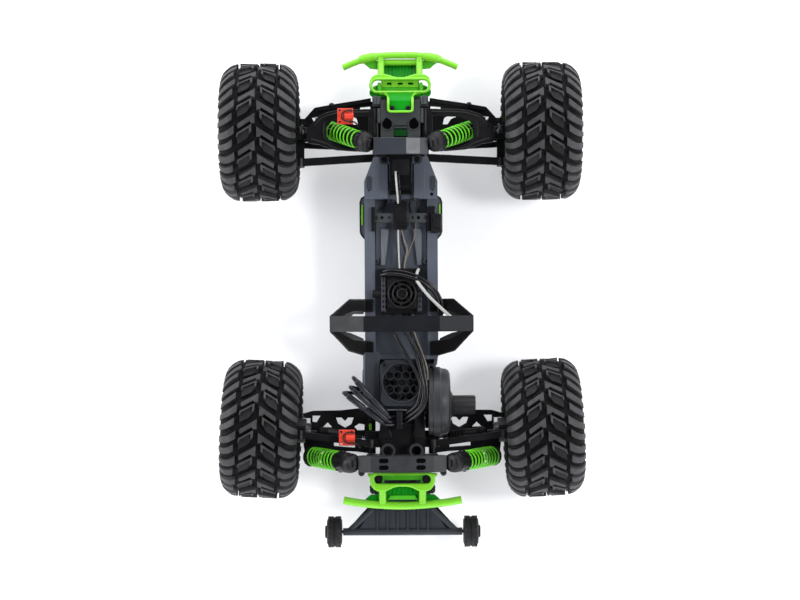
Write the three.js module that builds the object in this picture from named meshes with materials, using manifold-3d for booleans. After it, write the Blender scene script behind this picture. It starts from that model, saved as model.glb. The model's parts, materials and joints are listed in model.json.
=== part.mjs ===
// Body-less 1:10 monster truck chassis: tub, suspension, steering, drive train, bumpers and tyres.
// Millimetres. +Y is forward, +X is the truck's right side, +Z is up.
// The origin is on the ground, under the middle of the truck's length and width.
import * as THREE from 'three';
import { mergeVertices } from 'three/addons/utils/BufferGeometryUtils.js';
import Module from 'manifold-3d';

const wasm = await Module();
wasm.setup();

// ---------------------------------------------------------------- driving dimensions

const HALF_LENGTH = 243.9;
const FRONT_AXLE_Y = 163.5;
const WHEELBASE = 288;
const REAR_AXLE_Y = FRONT_AXLE_Y - WHEELBASE;
const WHEEL_X = 136.5;
const TYRE_R = 67;
const TYRE_HALF_WIDTH = 37.5;
const BEAD_R = 38;
const WHEEL_SIDES = 20;
const REAR_TOE_IN = THREE.MathUtils.degToRad(3);
const GAP = 0.3;

// suspension pivots of the right side, as [x, z] of axes that run along Y
const FRONT_LOWER = { inner: [23, 46], outer: [97, 50] };
const FRONT_UPPER = { inner: [23, 88], outer: [97, 92] };
const REAR_LOWER = { inner: [30, 48], outer: [98, 50] };
const TIE_ROD = { inner: [23, 138, 72], outer: [97, 133.5, 76] };
const CAMBER_LINK = { inner: [30, -138, 88], outer: [98, -129, 90] };
const FRONT_SHOCK = { top: [31, 149, 116], bottom: [78.5, 169.6, 58] };
const REAR_SHOCK = { top: [47, -155, 113], bottom: [91, -152, 57] };
const BOSS_R = 4;
const EYE_R = 4;

// chassis tub
const TUB_HALF = 35.2;
const TUB_BOTTOM = 42;
const DECK_Z = 75;
const RIM_Z = 88;
const TUB_WALL = 2.2;
const TUB_FRONT = 98;
const TUB_WAIST = -54;
const TUB_REAR = -108;

// drive train: positions are [y, z] of axes that run along X
const MOTOR_R = 18;
const SPUR_MODULE = 1;
const PINION_TEETH = 12;
const SPUR_TEETH = 34;
const DIFF_MODULE = 1.25;
const TOP_GEAR_TEETH = 16;
const RING_GEAR_TEETH = 40;
const MOTOR_AXIS = [-79, 74];
const SPUR_AXIS = behind(MOTOR_AXIS, 77.4, (SPUR_MODULE * (PINION_TEETH + SPUR_TEETH)) / 2);
const DIFF_AXIS = behind(SPUR_AXIS, 66, (DIFF_MODULE * (TOP_GEAR_TEETH + RING_GEAR_TEETH)) / 2);
const SHAFT_CLEARANCE = 0.4;
const CUP_R = 7.8;
const CUP_BORE_R = 6.4;
const SHAFT_BALL = { inner: [31, ...DIFF_AXIS], outer: [96, -126.6, 67] };

// the axis behind another one at a given height and centre distance
function behind([y, z], height, distance) {
  return [y - Math.sqrt(distance ** 2 - (z - height) ** 2), height];
}

// steering: the servo's output shaft points down and its horn swings over the sliding link
const SERVO_SHAFT_Y = 114;
const LINK_Y = 138;
const HORN_LENGTH = LINK_Y - SERVO_SHAFT_Y;

// roll hoop, fans, wheelie bar
const HOOP_TOP = 125.5;
const ESC_FAN = { centre: [0.6, 5.9], r: 12.3 };
const MOTOR_FAN = { centre: [0, -78.5], r: 17.6 };
const WHEELIE_AXLE = [-228.5, 38];
const WHEELIE_R = 15.4;

// ---------------------------------------------------------------- materials

function finish(color, roughness, metalness = 0) {
  return { color, roughness, metalness };
}

const FINISH = {
  tubGrey: finish('#474c54', 0.55),
  darkGrey: finish('#34383e', 0.55),
  black: finish('#1b1c1e', 0.55),
  rubber: finish('#202124', 0.8),
  green: finish('#54e01c', 0.4),
  rimGreen: finish('#2f9c1c', 0.4),
  steel: finish('#8d9196', 0.35, 0.9),
  alloy: finish('#5b6068', 0.4, 0.8),
  wrap: finish('#262a33', 0.5),
};

// ---------------------------------------------------------------- solids

const V = (x, y, z) => new THREE.Vector3(x, y, z);
const vec = (point) => V(...point);

function toSolid(geometry) {
  const bare = geometry.clone();
  bare.deleteAttribute('normal');
  bare.deleteAttribute('uv');
  const merged = mergeVertices(bare, 1e-4);
  const mesh = new wasm.Mesh({
    numProp: 3,
    vertProperties: new Float32Array(merged.attributes.position.array),
    triVerts: new Uint32Array(merged.index.array),
  });
  return new wasm.Manifold(mesh);
}

function toGeometry(solid) {
  const mesh = solid.getMesh();
  const geometry = new THREE.BufferGeometry();
  geometry.setAttribute('position', new THREE.BufferAttribute(mesh.vertProperties, 3));
  geometry.setIndex(new THREE.BufferAttribute(mesh.triVerts, 1));
  return geometry;
}

function join(...solids) {
  return solids.flat().reduce((sum, solid) => sum.add(solid));
}

function cut(solid, ...tools) {
  return tools.flat().reduce((rest, tool) => rest.subtract(tool), solid);
}

// box between two limits on each axis
function block(x0, x1, y0, y1, z0, z1) {
  const box = new THREE.BoxGeometry(x1 - x0, y1 - y0, z1 - z0);
  box.translate((x0 + x1) / 2, (y0 + y1) / 2, (z0 + z1) / 2);
  return toSolid(box);
}

const flatPoints = (points) => points.map(([u, v]) => new THREE.Vector2(u, v));
const isClockwise = (points) => THREE.ShapeUtils.isClockWise(flatPoints(points));

// solid with eight given corners: four of the lower face in turn, then the four above them
function hexahedron(lower, upper) {
  const turn = (points) => (isClockwise(lower) ? [...points].reverse() : points);
  const geometry = new THREE.BufferGeometry();
  const corners = [...turn(lower), ...turn(upper)].flat();
  geometry.setAttribute('position', new THREE.Float32BufferAttribute(corners, 3));
  const faces = [0, 2, 1, 0, 3, 2, 4, 5, 6, 4, 6, 7];
  for (let i = 0; i < 4; i += 1) {
    const next = (i + 1) % 4;
    faces.push(i, next, next + 4, i, next + 4, i + 4);
  }
  geometry.setIndex(faces);
  return toSolid(geometry);
}

// round bar between two points
function bar(from, to, radius, sides = 12) {
  const a = vec(from);
  const b = vec(to);
  const rod = new THREE.CylinderGeometry(radius, radius, a.distanceTo(b), sides);
  const turn = new THREE.Quaternion().setFromUnitVectors(V(0, 1, 0), b.clone().sub(a).normalize());
  rod.applyQuaternion(turn);
  rod.translate(...a.add(b).multiplyScalar(0.5));
  return toSolid(rod);
}

// round bars along one axis
const barX = (x0, x1, [y, z], radius, sides) => bar([x0, y, z], [x1, y, z], radius, sides);
const barY = (y0, y1, [x, z], radius, sides) => bar([x, y0, z], [x, y1, z], radius, sides);
const barZ = (z0, z1, [x, y], radius, sides) => bar([x, y, z0], [x, y, z1], radius, sides);

function outline(points, holes = []) {
  const turn = (loop, clockwise) => (isClockwise(loop) === clockwise ? loop : [...loop].reverse());
  const shape = new THREE.Shape(flatPoints(turn(points, false)));
  shape.holes = holes.map((hole) => new THREE.Path(flatPoints(turn(hole, true))));
  return shape;
}

// outline in X and Y, between two heights
function plate(points, z0, z1, holes) {
  const shape = outline(points, holes);
  const geometry = new THREE.ExtrudeGeometry(shape, { depth: z1 - z0, bevelEnabled: false });
  geometry.translate(0, 0, z0);
  return toSolid(geometry);
}

// outline in X and Z, between two places along Y
function plateY(points, y0, y1, holes) {
  const shape = outline(points, holes);
  const geometry = new THREE.ExtrudeGeometry(shape, { depth: y1 - y0, bevelEnabled: false });
  geometry.rotateX(Math.PI / 2);
  geometry.translate(0, y1, 0);
  return toSolid(geometry);
}

// outline in Y and Z, between two places along X
function plateX(points, x0, x1, holes) {
  const shape = outline(points, holes);
  const geometry = new THREE.ExtrudeGeometry(shape, { depth: x1 - x0, bevelEnabled: false });
  const turn = new THREE.Matrix4().makeBasis(V(0, 1, 0), V(0, 0, 1), V(1, 0, 0));
  geometry.applyMatrix4(turn);
  geometry.translate(x0, 0, 0);
  return toSolid(geometry);
}

// round tube through points
function tube(points, radius, sides = 8, steps = 24) {
  const path = new THREE.CatmullRomCurve3(points.map(vec));
  const section = new THREE.Shape();
  for (let i = 0; i < sides; i += 1) {
    const angle = (i / sides) * 2 * Math.PI;
    const place = [radius * Math.cos(angle), radius * Math.sin(angle)];
    if (i === 0) section.moveTo(...place);
    else section.lineTo(...place);
  }
  section.closePath();
  return toSolid(new THREE.ExtrudeGeometry(section, { steps, extrudePath: path }));
}

// solid of revolution about X; profile points are [x, radius], a flat side facing down
function turned(profile, sides = WHEEL_SIDES) {
  const loop = isClockwise(profile) ? [...profile].reverse() : profile;
  const points = [...loop, loop[0]].map(([x, r]) => new THREE.Vector2(r, -x));
  const geometry = new THREE.LatheGeometry(points, sides, Math.PI / sides);
  geometry.rotateZ(Math.PI / 2);
  return toSolid(geometry);
}

function mirrorX(solid) {
  const geometry = toGeometry(solid);
  geometry.scale(-1, 1, 1);
  const index = geometry.index.array;
  for (let i = 0; i < index.length; i += 3) {
    [index[i], index[i + 1]] = [index[i + 1], index[i]];
  }
  return toSolid(geometry);
}

function bothSides(solid) {
  return [solid, mirrorX(solid)];
}

// ---------------------------------------------------------------- scene graph

const truck = new THREE.Group();

function add(name, solid, finishName, parent = truck) {
  const mesh = new THREE.Mesh(toGeometry(solid), new THREE.MeshStandardMaterial(FINISH[finishName]));
  mesh.name = name;
  parent.add(mesh);
  return mesh;
}

// a right-hand piece and its mirror image
function addPair(prefix, name, solid, finishName) {
  add(`${prefix}_right_${name}`, solid, finishName);
  add(`${prefix}_left_${name}`, mirrorX(solid), finishName);
}

// ---------------------------------------------------------------- wheels and tyres

// thin-walled tyre with open beads, about X, its outer side towards +X
function tyreSolid() {
  const flat = 1 / Math.cos(Math.PI / WHEEL_SIDES);
  const outside = [[28.5, BEAD_R], [TYRE_HALF_WIDTH, 51], [33.4, 61.4], [21, TYRE_R]];
  const inside = [[19, TYRE_R - 4], [32, 52], [24, BEAD_R]];
  const flip = (points) => [...points].reverse().map(([x, r]) => [-x, r]);
  const profile = [...outside, ...flip(outside), ...flip(inside), ...inside];
  return turned(profile.map(([x, r]) => [x, r * flat]));
}

const RIM_HALF = 32.6;
const RIM_FLANGE = 2.1;
const DISC = { x0: 5, x1: 9 };
const SPOKES = 5;

function rimSolid(rear) {
  const seat = BEAD_R - GAP;
  const lip = BEAD_R + 2.4;
  const bore = BEAD_R - 3;
  const barrel = turned([
    [-RIM_HALF, bore], [-RIM_HALF, lip], [-RIM_HALF + RIM_FLANGE, lip],
    [-RIM_HALF + RIM_FLANGE, seat], [RIM_HALF - RIM_FLANGE, seat],
    [RIM_HALF - RIM_FLANGE, lip], [RIM_HALF, lip], [RIM_HALF, bore],
  ]);
  const disc = barX(DISC.x0, DISC.x1, [0, 0], bore + 0.6, WHEEL_SIDES);
  const windows = [];
  for (let i = 0; i < SPOKES; i += 1) {
    const angle = (i / SPOKES) * 2 * Math.PI;
    const corners = [[14, -0.4], [30, -0.44], [30, 0.44], [14, 0.4]];
    const place = ([r, a]) => [r * Math.cos(angle + a), r * Math.sin(angle + a)];
    windows.push(plateX(corners.map(place), DISC.x0 - 1, DISC.x1 + 1));
  }
  const hub = barX(-9, 14, [0, 0], 9, 8);
  const nut = barX(13, 19, [0, 0], 4.6, 6);
  const pieces = [cut(disc, windows), barrel, hub, nut];
  if (rear) {
    const cup = cut(barX(-48, -29, [0, 0], CUP_R, 12), barX(-49, -31.4, [0, 0], CUP_BORE_R, 12));
    pieces.push(cup, barX(-31, -8, [0, 0], 2.9, 8));
  } else {
    pieces.push(barX(-37, -8, [0, 0], 2.9, 8));
  }
  return join(pieces);
}

const tyre = tyreSolid();
for (const [end, y, toe] of [['front', FRONT_AXLE_Y, 0], ['rear', REAR_AXLE_Y, REAR_TOE_IN]]) {
  const rim = rimSolid(end === 'rear');
  for (const [side, sign] of [['right', 1], ['left', -1]]) {
    const corner = new THREE.Group();
    corner.position.set(sign * WHEEL_X, y, TYRE_R);
    corner.rotation.z = sign > 0 ? toe : Math.PI - toe;
    truck.add(corner);
    add(`${end}_${side}_tyre`, tyre, 'rubber', corner);
    add(`${end}_${side}_wheel`, rim, 'rimGreen', corner);
  }
}

// ---------------------------------------------------------------- chassis tub

function chassisTub() {
  const section = [
    [TUB_HALF, TUB_BOTTOM], [TUB_HALF, RIM_Z], [25.2, RIM_Z], [25.2, DECK_Z],
    [-25.2, DECK_Z], [-25.2, RIM_Z], [-TUB_HALF, RIM_Z], [-TUB_HALF, TUB_BOTTOM],
    [-TUB_HALF + TUB_WALL, TUB_BOTTOM], [-TUB_HALF + TUB_WALL, RIM_Z - TUB_WALL],
    [-27.4, RIM_Z - TUB_WALL], [-27.4, 46.2], [-25.2, 46.2], [-25.2, DECK_Z - 3],
    [25.2, DECK_Z - 3], [25.2, 46.2], [27.4, 46.2], [27.4, RIM_Z - TUB_WALL],
    [TUB_HALF - TUB_WALL, RIM_Z - TUB_WALL], [TUB_HALF - TUB_WALL, TUB_BOTTOM],
  ];
  const hull = plateY(section, TUB_WAIST, TUB_FRONT);

  // nose: the rim goes on up to the front shock tower, around the servo
  const noseHalf = [[TUB_HALF, TUB_FRONT - 1], [TUB_HALF, 114], [26, 137.6]];
  const nose = [...noseHalf, ...noseHalf.map(([x, y]) => [-x, y]).reverse()];
  const noseWell = [[-11.2, 101], [11.2, 101], [11.2, 139], [-11.2, 139]];
  const noseDish = [[-17, 96], [17, 96], [22, 112], [15, 131], [-15, 131], [-22, 112]];
  const nosePlate = cut(plate(nose, 82.5, 92), plate(noseWell, 80, 95), plate(noseDish, 86, 95));
  const noseStep = [[TUB_HALF, 97], [TUB_HALF, 104], [-TUB_HALF, 104], [-TUB_HALF, 97]];
  const noseBulkhead = cut(plate(noseStep, TUB_BOTTOM, 84), plate([[-30, 96.5], [30, 96.5],
    [30, 99.5], [-30, 99.5]], 46.5, 90));
  const noseFloor = plate([[22, 97], [22, 140], [-22, 140], [-22, 97]], TUB_BOTTOM, 46);

  // tail: floor and low walls that narrow around the motor
  const tailHalf = [[TUB_HALF, TUB_WAIST + 1], [31.4, -80], [25.8, -98], [21, TUB_REAR]];
  const tailOutline = [...tailHalf, ...tailHalf.map(([x, y]) => [-x, y]).reverse()];
  const inset = ([x, y]) => [x - Math.sign(x) * 3, y];
  const tailFloor = plate(tailOutline, TUB_BOTTOM, 46);
  const tailWalls = cut(plate(tailOutline, 45, 84), plate(tailOutline.map(inset), 44, 85),
    block(12, 40, TUB_REAR - 1, -62.6, 46.2, 86), block(-30, 30, TUB_REAR - 1, -100, 46.2, 86));
  const tailFront = cut(block(-34, 34, TUB_WAIST - 3, TUB_WAIST + 1, 44, RIM_Z),
    block(-23, 23, TUB_WAIST - 4, TUB_WAIST + 2, 79, 90));
  const motorHole = barX(-45, 9.6, MOTOR_AXIS, MOTOR_R + 0.8, 20);

  // deck features: bosses, ramps beside the middle channel, hinge-pin ears of the rear arms
  const bosses = bothSides(cut(barZ(DECK_Z - 1, 84, [24.2, 37.5], 3, 12),
    barZ(79, 85, [24.2, 37.5], 1.2, 8)));
  const ramps = bothSides(hexahedron(
    [[9.5, 75, 74.5], [24, 75, 74.5], [25, 40, 74.5], [14.5, 40, 74.5]],
    [[13, 75, 81], [24, 75, 81], [25, 40, 79], [19, 40, 79]]));
  const ears = bothSides(block(17, 35, -104, -98.6, TUB_BOTTOM + 0.8, 53));
  const rimSlots = bothSides(plate([[28, 106], [31.6, 104], [31.6, 115], [28, 119]], 89.5, 93));
  const rimHoles = [barZ(86.5, 93, [29.6, 101.5], 1.7, 10)];
  const tub = join(hull, nosePlate, noseBulkhead, noseFloor, tailFloor, tailWalls, tailFront,
    bosses, ramps, ears);
  return cut(tub, motorHole, rimSlots, rimHoles);
}

add('chassis_tub', chassisTub(), 'tubGrey');
add('belly_plate', plate([[32.6, TUB_WAIST + 1.6], [32.6, 96.6], [-32.6, 96.6],
  [-32.6, TUB_WAIST + 1.6]], TUB_BOTTOM, 45.8), 'black');
add('battery_pack', block(-23.5, 23.5, -48, 92, 46.6, 71.4), 'wrap');

// ---------------------------------------------------------------- front end

function frontBulkhead() {
  const base = block(-19, 19, 141, 201, TUB_BOTTOM, 50);
  const column = block(-15, 15, 147, 188, 49, 85);
  const top = block(-19, 19, 141, 192, 83.5, 95);
  const upperEars = [[141, 146.2], [186, 192]].map(([y0, y1]) =>
    bothSides(block(14, 27, y0, y1, 83.5, 92)));
  const lowerEars = [[141, 146.6], [195.2, 201]].map(([y0, y1]) =>
    bothSides(block(14, 27.5, y0, y1, TUB_BOTTOM, 50.5)));
  const sockets = bothSides(barZ(86, 96, [12.7, 170], 4.1, 12));
  const lightening = block(-12, 12, 150, 185, TUB_BOTTOM - 1, 80);
  return cut(join(base, column, top, upperEars.flat(), lowerEars.flat()), sockets, lightening);
}

function frontShockTower() {
  const half = [[14, 95.4], [21, 104], [25.6, 110], [25.6, 117], [18, 122.5], [9, 125]];
  const shape = [...half, ...half.map(([x, z]) => [-x, z]).reverse()];
  const legs = cut(plateY(shape, 141.2, 153.6), block(-9, 9, 140, 155, 98, 112));
  return join(legs, cut(plateY(shape.map(([x, z]) => [x, Math.max(z, 112)]), 138, 142),
    block(-30, 30, 137, 143, 90, 112.2)));
}

const FRONT_LOWER_ARM = [
  [24, 194.6], [28.8, 194.6], [28.8, 198], [62, 192.8], [84, 189], [94, 178], [94, 172.2], [89.5, 172.2], [89.5, 154.8],
  [94, 154.8], [94, 149.4], [88, 149], [72, 148.4], [44, 147.2], [24, 147.2],
];
const FRONT_LOWER_HOLES = [
  [[41.5, 172], [43, 178.5], [48.5, 181.5], [54.5, 182.2], [54.8, 179.5], [49.5, 177], [46, 172]],
  [[77.4, 180.4], [87, 179.4], [84.6, 175.2]],
  [[29.5, 190], [39.5, 189.2], [39.5, 186], [29.5, 186]],
];
const FRONT_UPPER_ARM = [
  [24, 184], [58.6, 182.8], [68, 181.4], [78, 177.6], [86.5, 168.6], [92, 166.4], [92, 160.6],
  [89, 151.6], [78, 150.4], [72, 148], [62, 145.4], [44, 144], [28.5, 144.6], [28.5, 146.8], [24, 146.8],
];
const FRONT_UPPER_HOLE = [
  [31, 177], [56, 176], [66, 172.5], [70, 166], [70, 158], [65, 152.4], [56, 148.6], [31, 148],
];

function frontLowerArm() {
  const web = plate(FRONT_LOWER_ARM, 45.4, 51.4, FRONT_LOWER_HOLES);
  const ribs = hexahedron(
    [[29, 194.2, 51], [83, 185.4, 51], [83, 188.8, 51], [29, 197.8, 51]],
    [[29, 194.2, 54], [83, 185.4, 53.4], [83, 188.8, 53.4], [29, 197.8, 54]]);
  const hinge = barY(147.2, 194.6, FRONT_LOWER.inner, BOSS_R);
  const prongs = [[149.4, 154.8], [172.2, 178]].map(([y0, y1]) =>
    barY(y0, y1, FRONT_LOWER.outer, BOSS_R + 0.3));
  const shockLug = block(74, 83, 174.8, 178, 50, 61);
  return join(web, ribs, hinge, prongs, shockLug);
}

function frontUpperArm() {
  const web = plate(FRONT_UPPER_ARM, 86.4, 91.6, [FRONT_UPPER_HOLE]);
  const hinge = barY(146.6, 184.6, FRONT_UPPER.inner, BOSS_R);
  const eye = barY(160, 167, FRONT_UPPER.outer, EYE_R);
  const neck = block(90, 97, 160.8, 166.2, 88.4, 94);
  return join(web, hinge, eye, neck);
}

function frontCarrier() {
  const [x, z] = FRONT_LOWER.outer;
  const y0 = 155.2;
  const y1 = 171.8;
  const lug = barY(y0, y1, [x, z], BOSS_R);
  const foot = block(x - 4, x + 4, y0, y1, z, 55);
  const lower = block(87.4, 103, y0, y1, 54.4, 58);
  const spine = block(87.4, 89.4, y0, y1, 54.4, 83);
  const upper = block(87.4, 103, y0, y1, 79.6, 83);
  return join(lug, foot, lower, spine, upper);
}

function frontKnuckle() {
  const [x, y, z] = [FRONT_LOWER.outer[0], FRONT_AXLE_Y, TYRE_R];
  const post = barZ(58.4, 79.2, [x, y], 7.2, 12);
  const hub = barX(x, x + 14, [y, z], 8, 12);
  const arm = block(x - 3.5, x + 3.5, TIE_ROD.outer[1] - 4.5, y - 4, 66.8, 71);
  const bore = barX(x + 1, x + 20, [y, z], 3.4, 8);
  return cut(join(post, hub, arm), bore);
}

// flat link with a round eye at each end, both eyes turning about Y
function eyeLink({ inner, outer }, width, height) {
  const [x0, y0, z0] = inner;
  const [x1, y1, z1] = outer;
  const w = width / 2;
  const h = height / 2;
  const body = hexahedron(
    [[x0, y0 - w, z0 - h], [x1, y1 - w, z1 - h], [x1, y1 + w, z1 - h], [x0, y0 + w, z0 - h]],
    [[x0, y0 - w, z0 + h], [x1, y1 - w, z1 + h], [x1, y1 + w, z1 + h], [x0, y0 + w, z0 + h]]);
  const eyes = [inner, outer].map(([x, y, z]) => barY(y - EYE_R, y + EYE_R, [x, z], EYE_R, 10));
  return join(body, eyes);
}

function steeringServo() {
  const body = cut(block(-10.3, 10.3, 104.5, 137.4, 73.6, 111), block(-11, 11, 133.4, 138, 73, 78));
  const flange = block(-10.3, 10.3, 101.6, 105, 92.4, 95);
  const boss = barZ(72, 74, [0, SERVO_SHAFT_Y], 5, 16);
  return join(body, flange, boss);
}

function servoHorn() {
  const disc = barZ(67.4, 71.6, [0, SERVO_SHAFT_Y], 4.6, 16);
  const arm = block(-3.4, 3.4, SERVO_SHAFT_Y, LINK_Y + 3, 67.4, 70.4);
  const pin = barZ(61.6, 68, [0, LINK_Y], 1.7, 12);
  return join(disc, arm, pin);
}

function steeringLink() {
  const strip = block(-27, 27, 134, 142, 62.6, 66.6);
  const pad = block(-7, 7, 128, 142, 62.6, 66.6);
  const slot = block(-2, 2, 132.2, 140.4, 60, 70);
  return cut(join(strip, pad), slot);
}

function frontBumper() {
  const barPoints = [[-54, 229, 50], [-38, 238.4, 52], [-20, 240.6, 53], [0, HALF_LENGTH - 2.83, 53],
    [20, 240.6, 53], [38, 238.4, 52], [54, 229, 50]];
  const front = tube(barPoints, 3.2, 6, 12);
  const lip = plate([[-42, 238], [-44, 231], [-30, 226], [30, 226], [44, 231], [42, 238]], 47, 50.4);
  const uprights = bothSides(bar([18.8, 240, 52], [18.8, 207, 62], 3.2, 8));
  const panel = hexahedron(
    [[-18, 238, 47], [18, 238, 47], [18, 205, 57], [-18, 205, 57]],
    [[-18, 238, 50], [18, 238, 50], [18, 205, 60], [-18, 205, 60]]);
  const ring = plate([[-24, 199.4], [24, 199.4], [30, 205], [30, 210], [24, 215], [-24, 215],
    [-30, 210], [-30, 205]], 60, 67, [[[-23, 203.6], [23, 203.6], [26, 207], [23, 211], [-23, 211],
    [-26, 207]]]);
  const bridge = block(-20, 20, 205.4, 209, 59, 65);
  const neckProfile = [[180.6, 95.4], [192.4, 95.4], [201.6, 62], [204, 58], [206.4, 66],
    [197, 98.4], [180.6, 98.4]];
  const neck = plateX(neckProfile, -12.2, 12.2);
  const foot = block(-13, 13, 201.4, 207, 44, 63);
  return join(front, lip, uprights, panel, ring, bridge, neck, foot);
}

add('front_bulkhead', frontBulkhead(), 'darkGrey');
add('front_shock_tower', frontShockTower(), 'tubGrey');
add('front_bumper', frontBumper(), 'green');
add('steering_servo', steeringServo(), 'black');
add('servo_horn', servoHorn(), 'black');
add('steering_link', steeringLink(), 'black');
addPair('front', 'lower_arm', frontLowerArm(), 'black');
addPair('front', 'upper_arm', frontUpperArm(), 'black');
addPair('front', 'carrier', frontCarrier(), 'black');
addPair('front', 'knuckle', frontKnuckle(), 'black');
addPair('front', 'tie_rod', eyeLink(TIE_ROD, 7.4, 4.6), 'black');

// ---------------------------------------------------------------- rear end

// gear with trapezoid teeth, narrower than half the pitch so that meshed gears run clear
function gear([y, z], x0, x1, teeth, module, phase) {
  const pitch = (2 * Math.PI) / teeth;
  const root = (module * (teeth - 2.5)) / 2;
  const tip = (module * (teeth + 1.9)) / 2;
  const points = [];
  for (let i = 0; i < teeth; i += 1) {
    const middle = phase + i * pitch;
    for (const [r, share] of [[root, -0.22], [tip, -0.09], [tip, 0.09], [root, 0.22]]) {
      const angle = middle + share * pitch;
      points.push([y + r * Math.cos(angle), z + r * Math.sin(angle)]);
    }
  }
  return plateX(points, x0, x1);
}

const lineAngle = (from, to) => Math.atan2(to[1] - from[1], to[0] - from[0]);
const pinionToSpur = lineAngle(MOTOR_AXIS, SPUR_AXIS);
const topToRing = lineAngle(SPUR_AXIS, DIFF_AXIS);

// band around two circles, in Y and Z
function beltOutline([y0, z0], r0, [y1, z1], r1, sides = 9) {
  const distance = Math.hypot(y1 - y0, z1 - z0);
  const along = Math.atan2(z1 - z0, y1 - y0);
  const tangent = Math.acos((r0 - r1) / distance);
  const points = [];
  for (let i = 0; i <= sides; i += 1) {
    const angle = along + tangent + (i / sides) * (2 * Math.PI - 2 * tangent);
    points.push([y0 + r0 * Math.cos(angle), z0 + r0 * Math.sin(angle)]);
  }
  for (let i = 0; i <= sides; i += 1) {
    const angle = along - tangent + (i / sides) * 2 * tangent;
    points.push([y1 + r1 * Math.cos(angle), z1 + r1 * Math.sin(angle)]);
  }
  return points;
}

function gearboxCase() {
  const shell = plateX(beltOutline(SPUR_AXIS, 13.6, DIFF_AXIS, 28.4), 12, 22);
  const housing = block(-21, 12.5, -151, -119, 46, 87);
  const floor = block(-22, 22, -168, TUB_REAR - 0.4, TUB_BOTTOM, 46.5);
  const tail = block(-20, 20, -168, -150, 46, 62);
  const motorPlate = plateX(beltOutline(MOTOR_AXIS, MOTOR_R, SPUR_AXIS, 12), 9.6, 12.4);
  const coverPlate = plateX(beltOutline(MOTOR_AXIS, 15.2, SPUR_AXIS, 20.4), 27, 29.7);
  const spacer = barX(21.5, 27.5, SPUR_AXIS, 7, 10);
  const ears = bothSides(block(21, 35, -156.6, -151.2, TUB_BOTTOM + 0.8, 53));
  const lugs = bothSides(block(11, 34, -142, -134, 79, 83.2));
  const gearRoom = [barX(13.4, 20.6, SPUR_AXIS, 12.2, 16), barX(13.4, 20.6, DIFF_AXIS, 27.2, 20)];
  const caseRoom = barX(-18, 14, DIFF_AXIS, 16.4, 16);
  const bores = [
    barX(-30, 30, DIFF_AXIS, CUP_R + 2 * SHAFT_CLEARANCE, 12),
    barX(13, 40, SPUR_AXIS, 3 + SHAFT_CLEARANCE, 8),
    barX(5, 40, MOTOR_AXIS, 2.4, 8),
  ];
  return cut(join(shell, housing, floor, tail, motorPlate, coverPlate, spacer, ears, lugs),
    gearRoom, caseRoom, bores);
}

function gearCover() {
  const outer = plateX(beltOutline(MOTOR_AXIS, 15.4, SPUR_AXIS, 20.6), 30, 45.4);
  const inner = plateX(beltOutline(MOTOR_AXIS, 13.6, SPUR_AXIS, 19), 29, 43.6);
  const nose = barX(44, 71, SPUR_AXIS, 9.3, 14);
  return cut(join(outer, nose), inner, barX(29, 69, SPUR_AXIS, 7.6, 12));
}

function differential() {
  const ringGear = gear(DIFF_AXIS, 14, 20, RING_GEAR_TEETH, DIFF_MODULE,
    topToRing + Math.PI + Math.PI / RING_GEAR_TEETH);
  const carrier = barX(-15, 14.5, DIFF_AXIS, 15, 14);
  const shaft = barX(-20, 20, DIFF_AXIS, 7, 10);
  const cup = cut(barX(19, 36, DIFF_AXIS, CUP_R, 12), barX(20.6, 37, DIFF_AXIS, CUP_BORE_R, 12));
  return join(ringGear, carrier, shaft, bothSides(cup));
}

function spurGear() {
  const spur = gear(SPUR_AXIS, 33, 38, SPUR_TEETH, SPUR_MODULE,
    pinionToSpur + Math.PI + Math.PI / SPUR_TEETH);
  const topGear = gear(SPUR_AXIS, 14, 20, TOP_GEAR_TEETH, DIFF_MODULE, topToRing);
  return join(spur, topGear, barX(14, 62, SPUR_AXIS, 3, 8), barX(38, 56, SPUR_AXIS, 6.4, 10));
}

function pinionGear() {
  const teeth = gear(MOTOR_AXIS, 33, 38, PINION_TEETH, SPUR_MODULE, pinionToSpur);
  return join(teeth, barX(9.6, 40, MOTOR_AXIS, 1.6, 8));
}

function motorSolid() {
  const can = barX(-33, 9.2, MOTOR_AXIS, MOTOR_R, 20);
  const endBell = barX(-38, -32.5, MOTOR_AXIS, 12, 12);
  return join(can, endBell);
}

function motorShroud() {
  const corner = 7;
  const half = [[20.5 - corner, -57.2], [20.5, -57.2 - corner], [20.5, -101 + corner],
    [20.5 - corner, -101]];
  const shape = [...half, ...half.map(([x, y]) => [-x, y]).reverse()];
  const hexes = [];
  const pitch = 7.6;
  for (let row = -2; row <= 2; row += 1) {
    for (let column = -2; column <= 2; column += 1) {
      const x = MOTOR_FAN.centre[0] + pitch * (column + (Math.abs(row) % 2) / 2);
      const y = MOTOR_FAN.centre[1] + pitch * 0.866 * row;
      const reach = Math.hypot(x - MOTOR_FAN.centre[0], y - MOTOR_FAN.centre[1]);
      if (reach < 14.5) hexes.push(barZ(104, 108, [x, y], 3.6, 6));
    }
  }
  const body = plate(shape, 82, 107);
  const chamber = barZ(80, 105, MOTOR_FAN.centre, MOTOR_FAN.r + 0.9, 20);
  const saddle = barX(-40, 9.8, MOTOR_AXIS, MOTOR_R + 0.6, 20);
  const plateRoom = block(9, 14, -102, -56, 80, 95);
  const gearboxRoom = block(9.2, 21, -104, -88, 80, 96);
  return cut(body, chamber, saddle, plateRoom, gearboxRoom, hexes);
}

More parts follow.
